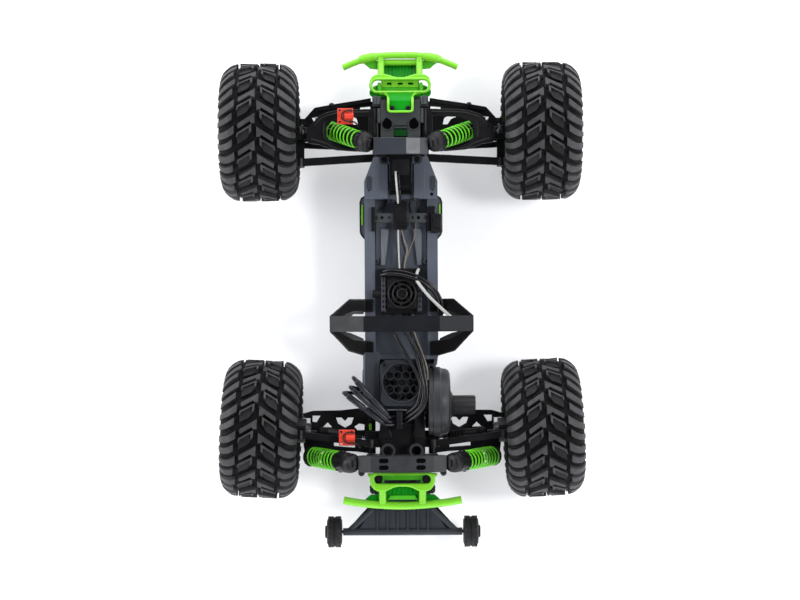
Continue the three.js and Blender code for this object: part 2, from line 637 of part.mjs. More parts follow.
// fan: hub and pitched blades in a ring of clearance
function fan([x, y], radius, hubR, z0, z1, blades) {
  const pieces = [barZ(z0, z1, [x, y], hubR, 12)];
  const middle = (z0 + z1) / 2;
  for (let i = 0; i < blades; i += 1) {
    const angle = (i / blades) * 2 * Math.PI;
    const blade = new THREE.BoxGeometry(radius - hubR + 1, hubR * 0.9, 0.9);
    blade.rotateX(0.6);
    blade.translate((radius + hubR - 1) / 2, 0, 0);
    blade.rotateZ(angle);
    blade.translate(x, y, middle);
    pieces.push(toSolid(blade));
  }
  return join(pieces);
}

function rearLowerArm() {
  const edge = [
    [31, -104.8], [60, -108], [88, -108.4], [97, -111], [97, -115.2], [90, -115.6], [90, -133.4],
    [97, -133.8], [97, -139], [96, -147], [96, -156.6], [86, -156.6], [84, -146.5], [44, -148.5],
    [31, -150.4],
  ];
  const holes = [
    [[80, -113], [88, -113], [88, -119], [84, -119.6]],
    [[68.5, -124.6], [78, -124.6], [73, -119.6]],
    [[47.4, -115], [53, -115], [56, -118.4], [59.4, -115], [65, -115], [63, -121], [56, -125],
      [50, -121.6]],
    [[37, -122], [42, -121], [47, -124], [44, -127.6], [37, -127.6]],
    [[46.4, -140.6], [67, -139.2], [67, -143], [46.4, -144.6]],
    [[50, -130], [82, -129], [82, -134.4], [50, -135.4]],
  ];
  const web = plate(edge, 45.4, 50.6, holes);
  const hinge = barY(-150.6, -104.6, REAR_LOWER.inner, BOSS_R);
  const prongs = [[-115.2, -110.6], [-138.8, -133.8]].map(([y0, y1]) =>
    barY(y0, y1, REAR_LOWER.outer, BOSS_R));
  const shockLug = block(86.5, 95.5, -159.4, -156.4, 45.4, 59);
  return join(web, hinge, prongs, shockLug);
}

function rearCarrier() {
  const [x, z] = REAR_LOWER.outer;
  const toe = V(Math.cos(REAR_TOE_IN), Math.sin(REAR_TOE_IN), 0);
  const centre = V(WHEEL_X, REAR_AXLE_Y, TYRE_R);
  const at = (offset) => centre.clone().addScaledVector(toe, offset).toArray();
  const ring = bar(at(-43), at(-29), 12, 14);
  const lug = barY(-133, -116, [x, z], BOSS_R);
  const foot = block(x - 4, x + 4, -133, -116, z, 60);
  const post = block(x - 4, x + 4, -133, -123, 74, 83.4);
  const bore = bar(at(-50), at(-20), CUP_R + 2 * SHAFT_CLEARANCE, 14);
  return cut(join(ring, lug, foot, post), bore);
}

// drive shaft in its own frame: inner ball at the origin, outer ball along +X
function driveShaft(length) {
  const profile = [
    [0, 2], [11.5, 2], [15, 6.3], [17, 6.3], [18, 5.6], [length - 21, 5.6], [length - 20, 6.3],
    [length - 15.5, 6.3], [length - 13, 2], [length, 2],
  ];
  const points = [[0, 0], ...profile, [length, 0]];
  const ball = new THREE.SphereGeometry(4.4, 8, 6);
  const far = ball.clone();
  far.translate(length, 0, 0);
  return join(turned(points, 10), toSolid(ball), toSolid(far));
}

function rearShockTower() {
  const half = [[14, 94], [30, 102], [42, 106], [42, 114], [30, 118.6], [20, 120]];
  const shape = [...half, ...half.map(([x, z]) => [-x, z]).reverse()];
  const body = plateY(shape, -163.4, -148);
  const hollow = plateY([[8, 99], [26, 104], [36, 108], [36, 112], [20, 116], [-20, 116], [-36, 112],
    [-36, 108], [-26, 104], [-8, 99]], -164, -151);
  const slots = [-154, -160.4].map((y) => bothSides(block(14.5, 22, y, y + 3.6, 110, 122)));
  const eyes = bothSides(cut(barZ(94, 104, [13.5, -144], 7, 12), barZ(90, 110, [13.5, -144], 4.8, 12)));
  const feet = bothSides(block(7, 18, -163.4, -148, 87.4, 97));
  const gearRoom = plateX(beltOutline(SPUR_AXIS, 14, DIFF_AXIS, 28.9), 11.6, 22.4);
  return cut(join(cut(body, hollow), eyes, feet), slots.flat(), gearRoom);
}

function rearBumper() {
  const barPoints = [[-56, -194, 60], [-38, -198.4, 60], [-18, -201.4, 60], [0, -202.2, 60],
    [18, -201.4, 60], [38, -198.4, 60], [56, -194, 60]];
  const back = tube(barPoints, 3.8, 6, 12);
  const ring = plate([[-30, -168.4], [30, -168.4], [34.5, -172], [34.5, -176], [30, -180.4],
    [-30, -180.4], [-34.5, -176], [-34.5, -172]], 64, 72, [[[-26, -171.6], [26, -171.6], [29, -174],
    [26, -177], [-26, -177], [-29, -174]]]);
  const uprights = bothSides(bar([20.5, -178, 67], [20.5, -200, 60], 3.4, 8));
  const panel = hexahedron(
    [[-34, -199, 55], [34, -199, 55], [24, -178, 62], [-24, -178, 62]],
    [[-34, -199, 58.4], [34, -199, 58.4], [24, -178, 65.4], [-24, -178, 65.4]]);
  const foot = block(-14, 14, -180, -168.4, 47, 66);
  return join(back, ring, uprights, panel, foot);
}

function wheelieBar() {
  const half = [[16, -170], [24, -172], [30, -206], [43, -226], [43, -231]];
  const shape = [...half, ...half.map(([x, y]) => [-x, y]).reverse()];
  const web = plate(shape, 36, 39.6);
  const ribs = [-25, -15, -5, 5, 15, 25].map((x) => block(x - 0.8, x + 0.8, -230, -172, 39, 41.4));
  const axleTube = barX(-58.8, 58.8, WHEELIE_AXLE, 3.8, 10);
  const struts = bothSides(bar([29, -206, 38], [52, -227, 38], 3, 8));
  const mount = join(block(-16, 16, -172.5, -168.4, 36, 46), block(-16, 16, -178, -150, 36, 38));
  const bore = barX(-80, 80, WHEELIE_AXLE, 2, 8);
  return cut(join(web, ribs, axleTube, struts, mount), bore, block(-12, 24, -171, -140, 37, 39));
}

function wheelieWheels() {
  const half = [[59.6, 12.4], [61.4, 14.8], [64, WHEELIE_R], [70.4, WHEELIE_R], [73, 14.8],
    [74.8, 12.4]];
  const wheel = turned([[59.6, 0], ...half, [74.8, 0]], 14);
  const boss = barX(74, 76.6, [0, 0], 6, 8);
  return join(barX(-62, 62, [0, 0], 1.6, 8), bothSides(join(wheel, boss)));
}

add('gearbox_case', gearboxCase(), 'darkGrey');
add('gear_cover', gearCover(), 'darkGrey');
add('differential', differential(), 'steel');
add('spur_gear', spurGear(), 'black');
add('pinion_gear', pinionGear(), 'steel');
add('motor', motorSolid(), 'alloy');
add('motor_shroud', motorShroud(), 'darkGrey');
add('motor_fan', fan(MOTOR_FAN.centre, MOTOR_FAN.r, 7.5, 95.4, 102.4, 7), 'black');
addPair('rear', 'lower_arm', rearLowerArm(), 'black');
addPair('rear', 'camber_link', eyeLink(CAMBER_LINK, 6.4, 4.6), 'black');
addPair('rear', 'carrier', rearCarrier(), 'black');
add('rear_shock_tower', rearShockTower(), 'darkGrey');
add('rear_bumper', rearBumper(), 'green');
add('wheelie_bar', wheelieBar(), 'black');

const wheelieAxle = new THREE.Group();
wheelieAxle.position.set(0, ...WHEELIE_AXLE);
truck.add(wheelieAxle);
add('wheelie_wheels', wheelieWheels(), 'rubber', wheelieAxle);

// a group whose local axes are given, at a point
function frameAt(origin, xAxis, yAxis) {
  const z = xAxis.clone().cross(yAxis).normalize();
  const y = z.clone().cross(xAxis).normalize();
  const group = new THREE.Group();
  group.quaternion.setFromRotationMatrix(new THREE.Matrix4().makeBasis(xAxis, y, z));
  group.position.copy(origin);
  truck.add(group);
  return group;
}

const toSide = ([x, y, z], sign) => V(sign * x, y, z);

for (const [side, sign] of [['right', 1], ['left', -1]]) {
  const from = toSide(SHAFT_BALL.inner, sign);
  const run = toSide(SHAFT_BALL.outer, sign).sub(from);
  const seat = frameAt(from, run.clone().normalize(), V(0, 1, 0));
  add(`rear_${side}_driveshaft`, driveShaft(run.length()), 'black', seat);
}

// ---------------------------------------------------------------- shock absorbers

// in the shock's own frame: the top eye at the origin, the bottom eye along +X
function shockBody(length) {
  const bottom = length - 27.8;
  const boreTop = length - 62;
  const profile = [
    [5, 0], [5, 8.6], [7, 9.7], [16.5, 9.7], [18, 7.4], [bottom, 7.4], [bottom, 2.4],
    [boreTop, 2.4], [boreTop, 0],
  ];
  const eye = barY(-4, 4, [0, 0], 4.4, 8);
  return join(turned(profile, 12), eye, block(0, 6, -3, 3, -3, 3));
}

function shockShaft(length) {
  const rod = barX(length - 45, length - 4, [0, 0], 1.8, 8);
  const cup = barX(length - 11, length - 8.2, [0, 0], 9, 12);
  const eye = barY(-3.5, 3.5, [length, 0], 4.2, 8);
  return join(rod, cup, eye, block(length - 9, length - 1, -2.6, 2.6, -2.6, 2.6));
}

for (const [end, mounts] of [['front', FRONT_SHOCK], ['rear', REAR_SHOCK]]) {
  for (const [side, sign] of [['right', 1], ['left', -1]]) {
    const from = toSide(mounts.top, sign);
    const run = toSide(mounts.bottom, sign).sub(from);
    const seat = frameAt(from, run.clone().normalize(), V(0, 1, 0));
    add(`${end}_${side}_shock_body`, shockBody(run.length()), 'darkGrey', seat);
    add(`${end}_${side}_shock_shaft`, shockShaft(run.length()), 'steel', seat);
  }
}

// ---------------------------------------------------------------- electronics and roll hoop

function escCase() {
  const base = block(-19, 20, -14.4, 30.3, DECK_Z + 0.4, 92);
  const fins = [];
  for (let y = -12; y < 28; y += 6) {
    fins.push(block(-18.4, -13.5, y, y + 2.6, 91, 98), block(14.5, 19.4, y, y + 2.6, 91, 98));
  }
  const [x, y] = ESC_FAN.centre;
  const frame = block(x - 14.2, x + 14.2, y - 14.2, y + 14.2, 91, 101);
  const chamber = barZ(93, 102, ESC_FAN.centre, ESC_FAN.r + 0.8, 20);
  const capacitor = barX(-27.6, -19.5, [6, 92.8], 4, 10);
  return join(cut(join(base, fins, frame), chamber), capacitor, block(-20.4, -18.2, 3.4, 8.6, 88.9, 92));
}

function radioTray() {
  const beam = block(-25, 25, 74.5, 83.4, RIM_Z + 0.4, 91.4);
  const brackets = bothSides(block(22.4, 28.6, 66, 89.4, RIM_Z + 0.4, 93));
  const receiver = block(-7.2, 7.2, 67.4, 95, 84, 98);
  const toggle = join(block(28, 39.4, 63, 83, RIM_Z + 0.4, 99), block(26, 33, 80, 90, RIM_Z + 0.4, 94));
  return join(beam, brackets, receiver, toggle);
}

function rollHoop() {
  const top = [[36, HOOP_TOP], [68.6, 106], [68.6, 101], [65.6, 101], [65.6, 104.2], [35, 122.2]];
  const crossbar = plateY([...top, ...top.map(([x, z]) => [-x, z]).reverse()], -30, -15);
  const band = plateY([[27, 88.4], [36, 88.4], [68.6, 100], [68.6, 105], [65.6, 105], [65.6, 102.6],
    [35, 91.8], [27, 91.8]], -56, 4);
  const frontLeg = plate([[68.6, -15], [68.6, -30], [60, -30], [60, -17], [46, -11.6], [27, -11.6],
    [27, 1], [50, 1.2]], 80, 110);
  const rearLeg = plate([[68.6, -30], [68.6, -15], [60, -15], [60, -29], [46, -37], [27, -40],
    [27, -53.4], [36, -53.4], [51, -49]], 80, 110);
  const legs = join(band.intersect(frontLeg), band.intersect(rearLeg));
  return join(crossbar, bothSides(legs));
}

const LEAD_R = 1.9;
const LEAD_SPACING = 3.4;
const CONNECTOR_R = 2.8;

// outline of round leads lying side by side
function ribbonSection(count, radius, spacing, arcPoints) {
  const points = [];
  const start = (-(count - 1) * spacing) / 2;
  for (const side of [1, -1]) {
    for (let i = 0; i < count; i += 1) {
      const middle = side > 0 ? start + i * spacing : start + (count - 1 - i) * spacing;
      for (let k = 0; k < arcPoints; k += 1) {
        const angle = ((k + 0.5) / arcPoints) * Math.PI;
        points.push([middle - side * radius * Math.cos(angle), side * radius * Math.sin(angle)]);
      }
    }
  }
  return outline(points);
}

// three motor leads side by side, from the speed controller round the fan to their connectors
function motorLeads() {
  const route = [[5, -16, 96], [8, -32, 104], [16, -52, 109.4], [23.4, -70, 110.2], [25.6, -86, 110],
    [20.6, -104, 109.4], [9, -113.6, 108.6], [-6, -116, 107.4]];
  const path = new THREE.CatmullRomCurve3(route.map(vec));
  const section = ribbonSection(3, LEAD_R, LEAD_SPACING, 3);
  const leads = toSolid(new THREE.ExtrudeGeometry(section, { steps: 14, extrudePath: path }));
  const connectors = [0, 1, 2].map((n) =>
    bar([-6 - n * 5, -114 - n * 4, 108.4], [-44 - n * 2.6, -78 - n * 8.6, 103], CONNECTOR_R, 8));
  const sleeve = bar([-5, -113.4, 108.2], [-17, -122.6, 108.2], 2.2, 8);
  return join(leads, connectors, sleeve);
}

add('esc_case', escCase(), 'black');
add('esc_fan', fan(ESC_FAN.centre, ESC_FAN.r, 5.4, 94, 100, 7), 'black');
add('radio_tray', radioTray(), 'black');
add('roll_hoop', rollHoop(), 'black');
add('motor_leads', motorLeads(), 'black');

export default truck;
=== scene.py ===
"""Body-less 1:10 monster truck chassis, seen from straight above.

Lengths in this script are millimetres in the row frame (+Y forward, +X the truck's right side,
+Z up) and turn into metres when a piece is made.
"""
import json
import math
import random

import bpy
from mathutils import Matrix, Vector


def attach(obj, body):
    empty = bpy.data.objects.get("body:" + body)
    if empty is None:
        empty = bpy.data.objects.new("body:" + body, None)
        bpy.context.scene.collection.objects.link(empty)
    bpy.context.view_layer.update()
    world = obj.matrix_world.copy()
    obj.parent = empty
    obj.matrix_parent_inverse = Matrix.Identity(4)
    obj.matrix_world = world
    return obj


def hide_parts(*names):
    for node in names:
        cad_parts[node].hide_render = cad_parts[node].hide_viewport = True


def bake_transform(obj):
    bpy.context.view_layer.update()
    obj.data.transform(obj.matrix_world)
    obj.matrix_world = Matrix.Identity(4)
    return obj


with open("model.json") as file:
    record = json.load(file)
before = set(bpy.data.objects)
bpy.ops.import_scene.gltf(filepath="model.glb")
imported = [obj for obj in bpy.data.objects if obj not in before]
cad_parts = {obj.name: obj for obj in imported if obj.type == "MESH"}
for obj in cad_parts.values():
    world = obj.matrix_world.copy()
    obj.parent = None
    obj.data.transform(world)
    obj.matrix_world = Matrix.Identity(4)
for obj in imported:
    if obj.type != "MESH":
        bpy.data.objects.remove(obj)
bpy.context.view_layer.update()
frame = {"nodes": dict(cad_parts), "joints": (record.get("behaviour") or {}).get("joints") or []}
joints = {joint["name"]: joint for joint in frame["joints"]}
nodes = frame["nodes"]
MM = 0.001
SIDES = (("right", 1), ("left", -1))
CORNERS = [(f"{end}_{side}", end, sign) for end in ("front", "rear") for side, sign in SIDES]
FORE = (0, 1, 0)

# ---- camera, lights and floor

CAMERA_HEIGHT = 2010
CAMERA_SHIFT_X = -1.4
CAMERA_ROLL = math.radians(-0.33)
FOCAL_LENGTH = 89.9
SENSOR_WIDTH = 36

SKY_COLOR = (0.97, 0.98, 1, 1)
ZENITH_COLOR = (0.05, 0.05, 0.055, 1)
SKY_STRENGTH = 3.5

camera = bpy.data.objects.new("camera", bpy.data.cameras.new("camera"))
bpy.context.scene.collection.objects.link(camera)
camera.data.lens = FOCAL_LENGTH
camera.data.sensor_width = SENSOR_WIDTH
camera.location = Vector((CAMERA_SHIFT_X, 0, CAMERA_HEIGHT)) * MM
camera.rotation_euler = (0, 0, CAMERA_ROLL)
camera.data.clip_end = 50
bpy.context.scene.camera = camera


def area_light(name, place, target, size, power):
    """Square soft light that looks from one point to another, in metres and watts."""
    light = bpy.data.lights.new(name, "AREA")
    light.shape = "SQUARE"
    light.size = size
    light.energy = power
    lamp = bpy.data.objects.new(name, light)
    lamp.location = place
    lamp.rotation_euler = (Vector(target) - Vector(place)).to_track_quat("-Z", "Y").to_euler()
    bpy.context.scene.collection.objects.link(lamp)


area_light("softbox_right", (1.15, 0.1, 1.9), (0, 0, 0.05), 0.42, 22)
area_light("softbox_left", (-1.6, 0.2, 0.9), (0, 0, 0.05), 0.9, 15)
area_light("softbox_front", (0.1, 1.7, 0.9), (0, 0, 0.05), 0.9, 11)

# white sky that fades to dark overhead, so that the deck isn't washed out
world = bpy.data.worlds.new("studio")
bpy.context.scene.world = world
world.use_nodes = True
sky = world.node_tree
background = sky.nodes["Background"]
direction = sky.nodes.new("ShaderNodeTexCoord").outputs["Generated"]
height = sky.nodes.new("ShaderNodeSeparateXYZ")
sky.links.new(direction, height.inputs["Vector"])
fade = sky.nodes.new("ShaderNodeValToRGB")
for stop, position, color in zip(fade.color_ramp.elements, (0.5, 0.85), (SKY_COLOR, ZENITH_COLOR)):
    stop.position = position
    stop.color = color
sky.links.new(height.outputs["Z"], fade.inputs["Fac"])
sky.links.new(fade.outputs["Color"], background.inputs["Color"])
background.inputs["Strength"].default_value = SKY_STRENGTH
bpy.context.scene.view_settings.view_transform = "Standard"

# ---- materials


def surface(name, color, rough, vary=0.12, patch=0.03, grain=0.0006, bump=0.15, metal=0,
            coat=0, specular=0.22, rough_vary=0.08):
    """Moulded or machined surface: patchy colour and roughness, with a fine grain as bump."""
    material = bpy.data.materials.new(name)
    material.use_nodes = True
    tree = material.node_tree
    shader = tree.nodes["Principled BSDF"]
    place = tree.nodes.new("ShaderNodeTexCoord").outputs["Object"]

    def noise(size, detail):
        node = tree.nodes.new("ShaderNodeTexNoise")
        node.inputs["Scale"].default_value = 1 / size
        node.inputs["Detail"].default_value = detail
        tree.links.new(place, node.inputs["Vector"])
        return node.outputs["Fac"]

    def ramp(value, low, high):
        node = tree.nodes.new("ShaderNodeValToRGB")
        for stop, position, shade in zip(node.color_ramp.elements, (0.3, 0.7), (low, high)):
            stop.position = position
            stop.color = (*shade, 1)
        tree.links.new(value, node.inputs["Fac"])
        return node.outputs["Color"]

    patches = noise(patch, 3)
    colours = ramp(patches, [c * (1 - vary) for c in color], [min(1, c * (1 + vary)) for c in color])
    tree.links.new(colours, shader.inputs["Base Color"])
    rough_low = max(0.02, rough - rough_vary)
    rough_high = min(1, rough + rough_vary)
    tree.links.new(ramp(noise(patch / 3, 4), [rough_low] * 3, [rough_high] * 3),
                   shader.inputs["Roughness"])
    relief = tree.nodes.new("ShaderNodeBump")
    relief.inputs["Strength"].default_value = bump
    relief.inputs["Distance"].default_value = 0.0002
    tree.links.new(noise(grain, 2), relief.inputs["Height"])
    tree.links.new(relief.outputs["Normal"], shader.inputs["Normal"])
    shader.inputs["Metallic"].default_value = metal
    shader.inputs["Coat Weight"].default_value = coat
    shader.inputs["Specular IOR Level"].default_value = specular
    return material


TUB = surface("tub_nylon", (0.052, 0.06, 0.076), 0.42, vary=0.1)
# painted light: a lighter copy of the tub's nylon for the sloped ramps in the tub floor
TUB_PAINTED_LIGHT = surface("tub_nylon_lit", (0.095, 0.105, 0.12), 0.45, vary=0.08)
# darker copy of the tub's nylon; on the nose slots it is painted shade
TUB_DARK = surface("tub_nylon_dark", (0.019, 0.022, 0.028), 0.5, vary=0.1)
SHROUD = surface("shroud_nylon", (0.0105, 0.012, 0.0155), 0.45, vary=0.1, specular=0.16)
TOWER = surface("tower_nylon", (0.018, 0.02, 0.025), 0.3, vary=0.08, specular=0.27,
                rough_vary=0.03)
GREY = surface("grey_nylon", (0.026, 0.029, 0.03), 0.45)
BLACK = surface("black_nylon", (0.0028, 0.0028, 0.0034), 0.4, specular=0.16)
# painted shade: a darker, less glossy copy of the hoop's nylon for the sloped hoop legs; the steering
# servo uses it too
HOOP_SHADE = surface("hoop_nylon_shaded", (0.0016, 0.0016, 0.002), 0.5, specular=0.05)
# painted shade: a darker copy of the cover's nylon, for the spur cover's nose and its collar
COVER_SHADE = surface("cover_nylon_shade", (0.011, 0.011, 0.0128), 0.45, specular=0.15)
WHEELIE = surface("wheelie_rubber", (0.009, 0.009, 0.0098), 0.55, vary=0.3, bump=0.3,
                  specular=0.15)
# painted shade: a near-black, dull sheet for openings and slots whose insides lie in shade
WELL_SHADE = surface("painted_well_shade", (0.0006, 0.0006, 0.0007), 0.8, specular=0.02)
CARBON = surface("hoop_nylon", (0.0048, 0.0052, 0.0068), 0.36, patch=0.05, specular=0.13)
GREEN = surface("green_plastic", (0.14, 0.43, 0.02), 0.3, vary=0.05, grain=0.001, bump=0.05,
                coat=0.15)
# the next three greens are darker copies of the green plastic: painted shade on the lower and recessed
# parts of the bumpers and on the bulkhead
GREEN_HALF_SHADE = surface("green_plastic_half_shade", (0.05, 0.32, 0.012), 0.35, vary=0.06, grain=0.001,
                    bump=0.05)
GREEN_DEEP_SHADE = surface("green_plastic_deep_shade", (0.003, 0.17, 0.006), 0.4, vary=0.08, grain=0.001,
                     bump=0.05, specular=0.08)
GREEN_SHADE = surface("green_plastic_shade", (0.0015, 0.032, 0.004), 0.5, vary=0.08, bump=0.05,
                      specular=0.08)
GEAR_COVER = surface("cover_nylon", (0.0155, 0.016, 0.0182), 0.42)
RIM_GREEN = surface("rim_plastic", (0.006, 0.09, 0.006), 0.4, vary=0.1, grain=0.001, bump=0.05)
SPRING = surface("spring_paint", (0.09, 0.43, 0.01), 0.3, vary=0.06, grain=0.002, bump=0.03)
RUBBER = surface("tyre_rubber", (0.0205, 0.0202, 0.0222), 0.55, vary=0.35, patch=0.012, bump=0.3)
# painted shade: a darker copy of the tread rubber for the sunk tops of the wide blocks
RUBBER_RECESS_SHADE = surface("tyre_rubber_recess_shade", (0.0048, 0.0048, 0.0056), 0.6, vary=0.35, patch=0.012,
                      bump=0.3, specular=0.16)
# painted shade: a much darker copy of the tyre rubber for the carcass, which shows in the grooves
# between the lugs
CARCASS_SHADE = surface("tyre_carcass", (0.0024, 0.0024, 0.0028), 0.7, vary=0.3, patch=0.012, bump=0.3,
                  specular=0.1)
LEAD = surface("silicone_lead", (0.0032, 0.0032, 0.0042), 0.24, vary=0.1, bump=0.05)
SLEEVE = surface("heat_shrink", (0.0065, 0.007, 0.0105), 0.3, vary=0.15, bump=0.1)
WHITE_LEAD = surface("white_lead", (0.28, 0.28, 0.27), 0.35, vary=0.06, bump=0.05)
TAN_LEAD = surface("tan_lead", (0.13, 0.11, 0.085), 0.4, vary=0.15, bump=0.05)
TAG = surface("orange_tag", (0.42, 0.03, 0.014), 0.35, vary=0.06, bump=0.05)
SCREW = surface("black_oxide_steel", (0.008, 0.008, 0.009), 0.3, metal=0.4, vary=0.2, bump=0.05)
STEEL = surface("turned_steel", (0.24, 0.25, 0.27), 0.3, metal=1, vary=0.1, bump=0.1)
DARK_STEEL = surface("dark_steel", (0.035, 0.035, 0.038), 0.35, metal=0.9, vary=0.15, bump=0.1)
CAN = surface("motor_can", (0.02, 0.02, 0.023), 0.35, metal=0.6, vary=0.1, bump=0.1)
SINK = surface("heat_sink", (0.03, 0.028, 0.036), 0.4, vary=0.1, bump=0.1)
FLOOR = surface("paper_floor", (0.88, 0.88, 0.89), 0.9, vary=0.01, patch=0.5, bump=0)

FLOOR_HALF = 12
floor_mesh = bpy.data.meshes.new("floor")
floor_mesh.from_pydata([(x * FLOOR_HALF, y * FLOOR_HALF, 0)
                        for x, y in ((-1, -1), (1, -1), (1, 1), (-1, 1))], [], [(0, 1, 2, 3)])
floor = bpy.data.objects.new("floor", floor_mesh)
floor_mesh.materials.append(FLOOR)
bpy.context.scene.collection.objects.link(floor)

# ---- geometry, as (points, faces)


def grid_faces(rows, columns, close_rows=False):
    """Quads between rings of points, each row of points being one ring."""
    faces = []
    for i in range(rows if close_rows else rows - 1):
        row, after = i * columns, (i + 1) % rows * columns
        for k in range(columns):
            n = (k + 1) % columns
            faces.append((row + k, row + n, after + n, after + k))
    return faces


def end_caps(rows, columns):
    """Faces that close the first and the last of some rows of points."""
    last = (rows - 1) * columns
    return [tuple(range(columns))[::-1], tuple(range(last, last + columns))]


def curve_through(points, steps=6):
    """Catmull-Rom points through the given ones."""
    path = [Vector(p) for p in points]
    ends = [2 * path[0] - path[1], *path, 2 * path[-1] - path[-2]]
    out = []
    for i in range(len(path) - 1):
        a, b, c, d = ends[i:i + 4]
        for k in range(steps):
            t = k / steps
            out.append(0.5 * ((2 * b) + (c - a) * t + (2 * a - 5 * b + 4 * c - d) * t ** 2
                              + (3 * b - a - 3 * c + d) * t ** 3))
    return [*out, path[-1]]


def sweep(points, radius, sides=10, steps=6, flat=1, up=(0, 0, 1)):
    """Round rod along a smooth curve. radius is one number or one for each given point."""
    path = curve_through(points, steps) if steps > 1 else [Vector(p) for p in points]
    last = len(path) - 1
    verts = []
    side = None
    for i, point in enumerate(path):
        ahead = (path[min(i + 1, last)] - path[max(i - 1, 0)]).normalized()
        if side is None:
            side = ahead.cross(Vector(up))
            if side.length < 0.1:
                side = ahead.cross(Vector(FORE))
        side = (side - ahead * side.dot(ahead)).normalized()
        over = side.cross(ahead)
        if isinstance(radius, (int, float)):
            r = radius
        else:
            place = i / last * (len(radius) - 1)
            low = min(int(place), len(radius) - 2)
            r = radius[low] + (radius[low + 1] - radius[low]) * (place - low)
        for k in range(sides):
            angle = 2 * math.pi * k / sides
            verts.append(point + side * math.cos(angle) * r + over * math.sin(angle) * r * flat)
    return verts, grid_faces(len(path), sides) + end_caps(len(path), sides)


def lathe(profile, sides=32, closed=False):
    """Solid of revolution about X. profile is (x, radius); closed joins its last point to its first."""
    verts = []
    for x, r in profile:
        for k in range(sides):
            angle = 2 * math.pi * k / sides
            verts.append(Vector((x, r * math.cos(angle), r * math.sin(angle))))
    faces = grid_faces(len(profile), sides, close_rows=closed)
    return verts, faces if closed else faces + end_caps(len(profile), sides)


def slab(points, z0, z1, holes=(), edge=0.4):
    """Plate of an outline in X and Y with rounded edges. Holes are outlines or (x, y, radius)."""
    data = bpy.data.curves.new("outline", "CURVE")
    data.dimensions = "2D"
    data.fill_mode = "BOTH"
    data.extrude = (z1 - z0) / 2 - edge
    data.bevel_depth = edge
    data.bevel_resolution = 1
    data.offset = -edge
    for loop in (points, *holes):
        if len(loop) == 3 and isinstance(loop[0], (int, float)):
            loop = arc_points(*loop, 0, 342, 19)
        spline = data.splines.new("POLY")
        spline.points.add(len(loop) - 1)
        spline.use_cyclic_u = True
        for point, (x, y) in zip(spline.points, loop):
            point.co = (x, y, 0, 1)
    holder = bpy.data.objects.new("outline", data)
    bpy.context.scene.collection.objects.link(holder)
    bpy.context.view_layer.update()
    mesh = bpy.data.meshes.new_from_object(holder.evaluated_get(
        bpy.context.evaluated_depsgraph_get()))
    verts = [v.co + Vector((0, 0, (z0 + z1) / 2)) for v in mesh.vertices]
    faces = [tuple(p.vertices) for p in mesh.polygons]
    bpy.data.objects.remove(holder)
    bpy.data.curves.remove(data)
    bpy.data.meshes.remove(mesh)
    return verts, faces


def block(x0, x1, y0, y1, z0, z1, edge=0.4):
    return slab([(x0, y0), (x1, y0), (x1, y1), (x0, y1)], z0, z1, edge=edge)


def wall(points, y0, y1, edge):
    """Plate of an outline in X and Z, its thickness along Y."""
    verts, faces = slab(points, y0, y1, edge=edge)
    return [Vector((v.x, v.z, v.y)) for v in verts], [tuple(reversed(f)) for f in faces]


def loft(rows):
    """Solid through rows of points that match one to one, closed at both ends."""
    size = len(rows), len(rows[0])
    return [Vector(p) for row in rows for p in row], grid_faces(*size) + end_caps(*size)


def sloped(points, start, height, slope, thick):
    """Plate of an outline in X and Y that rises with x, its underside at a height where x is start."""
    bottom = [(x, y, height + (x - start) * slope) for x, y in points]
    return loft([bottom, [(x, y, z + thick) for x, y, z in bottom]])


def moved(shape, matrix):
    return [matrix @ v for v in shape[0]], shape[1]


def placed(shapes, matrix):
    return [moved(shape, matrix) for shape in shapes]


def around(shapes, count):
    """The shapes, repeated about X."""
    return [shape for n in range(count)
            for shape in placed(shapes, Matrix.Rotation(2 * math.pi * n / count, 4, "X"))]


def mirrored(shape):
    verts, faces = shape
    return [Vector((-v.x, v.y, v.z)) for v in verts], [tuple(reversed(f)) for f in faces]


def frame_at(origin, along, side=FORE):
    """Matrix whose local X runs along a direction, from a point."""
    x = Vector(along).normalized()
    z = x.cross(Vector(side)).normalized()
    y = z.cross(x)
    turn = Matrix((x, y, z)).transposed().to_4x4()
    return Matrix.Translation(Vector(origin)) @ turn


def turned(profile, place, sides, along=(0, 0, 1), closed=False):
    """Solid of revolution at a place, about a line that is upright unless along says otherwise."""
    return moved(lathe(profile, sides, closed), frame_at(place, along, (1, 0, 0)))


def both(*shapes):
    """The shapes and their mirror images on the other side."""
    return [*shapes, *(mirrored(shape) for shape in shapes)]


def on_side(sign, shapes):
    """Shapes made for the right side, on the side that sign says."""
    return list(shapes) if sign > 0 else [mirrored(shape) for shape in shapes]


def across(half):
    """Points from left to right, from the ones at the middle and on the right, inner ones first."""
    return [*((-x, *rest) for x, *rest in reversed(half) if x), *half]


def whole(half):
    """Closed outline, from its points on the right and at the middle."""
    return [*half, *((-x, y) for x, y in reversed(half) if x)]


def joint_place(name):
    return Vector(joints[name]["pos_m"]) / MM


def wheel_axle(corner):
    """Matrix at a wheel's centre, its X along the axle."""
    joint = f"{corner}_wheel_spin"
    return frame_at(joint_place(joint), joints[joint]["axis"])


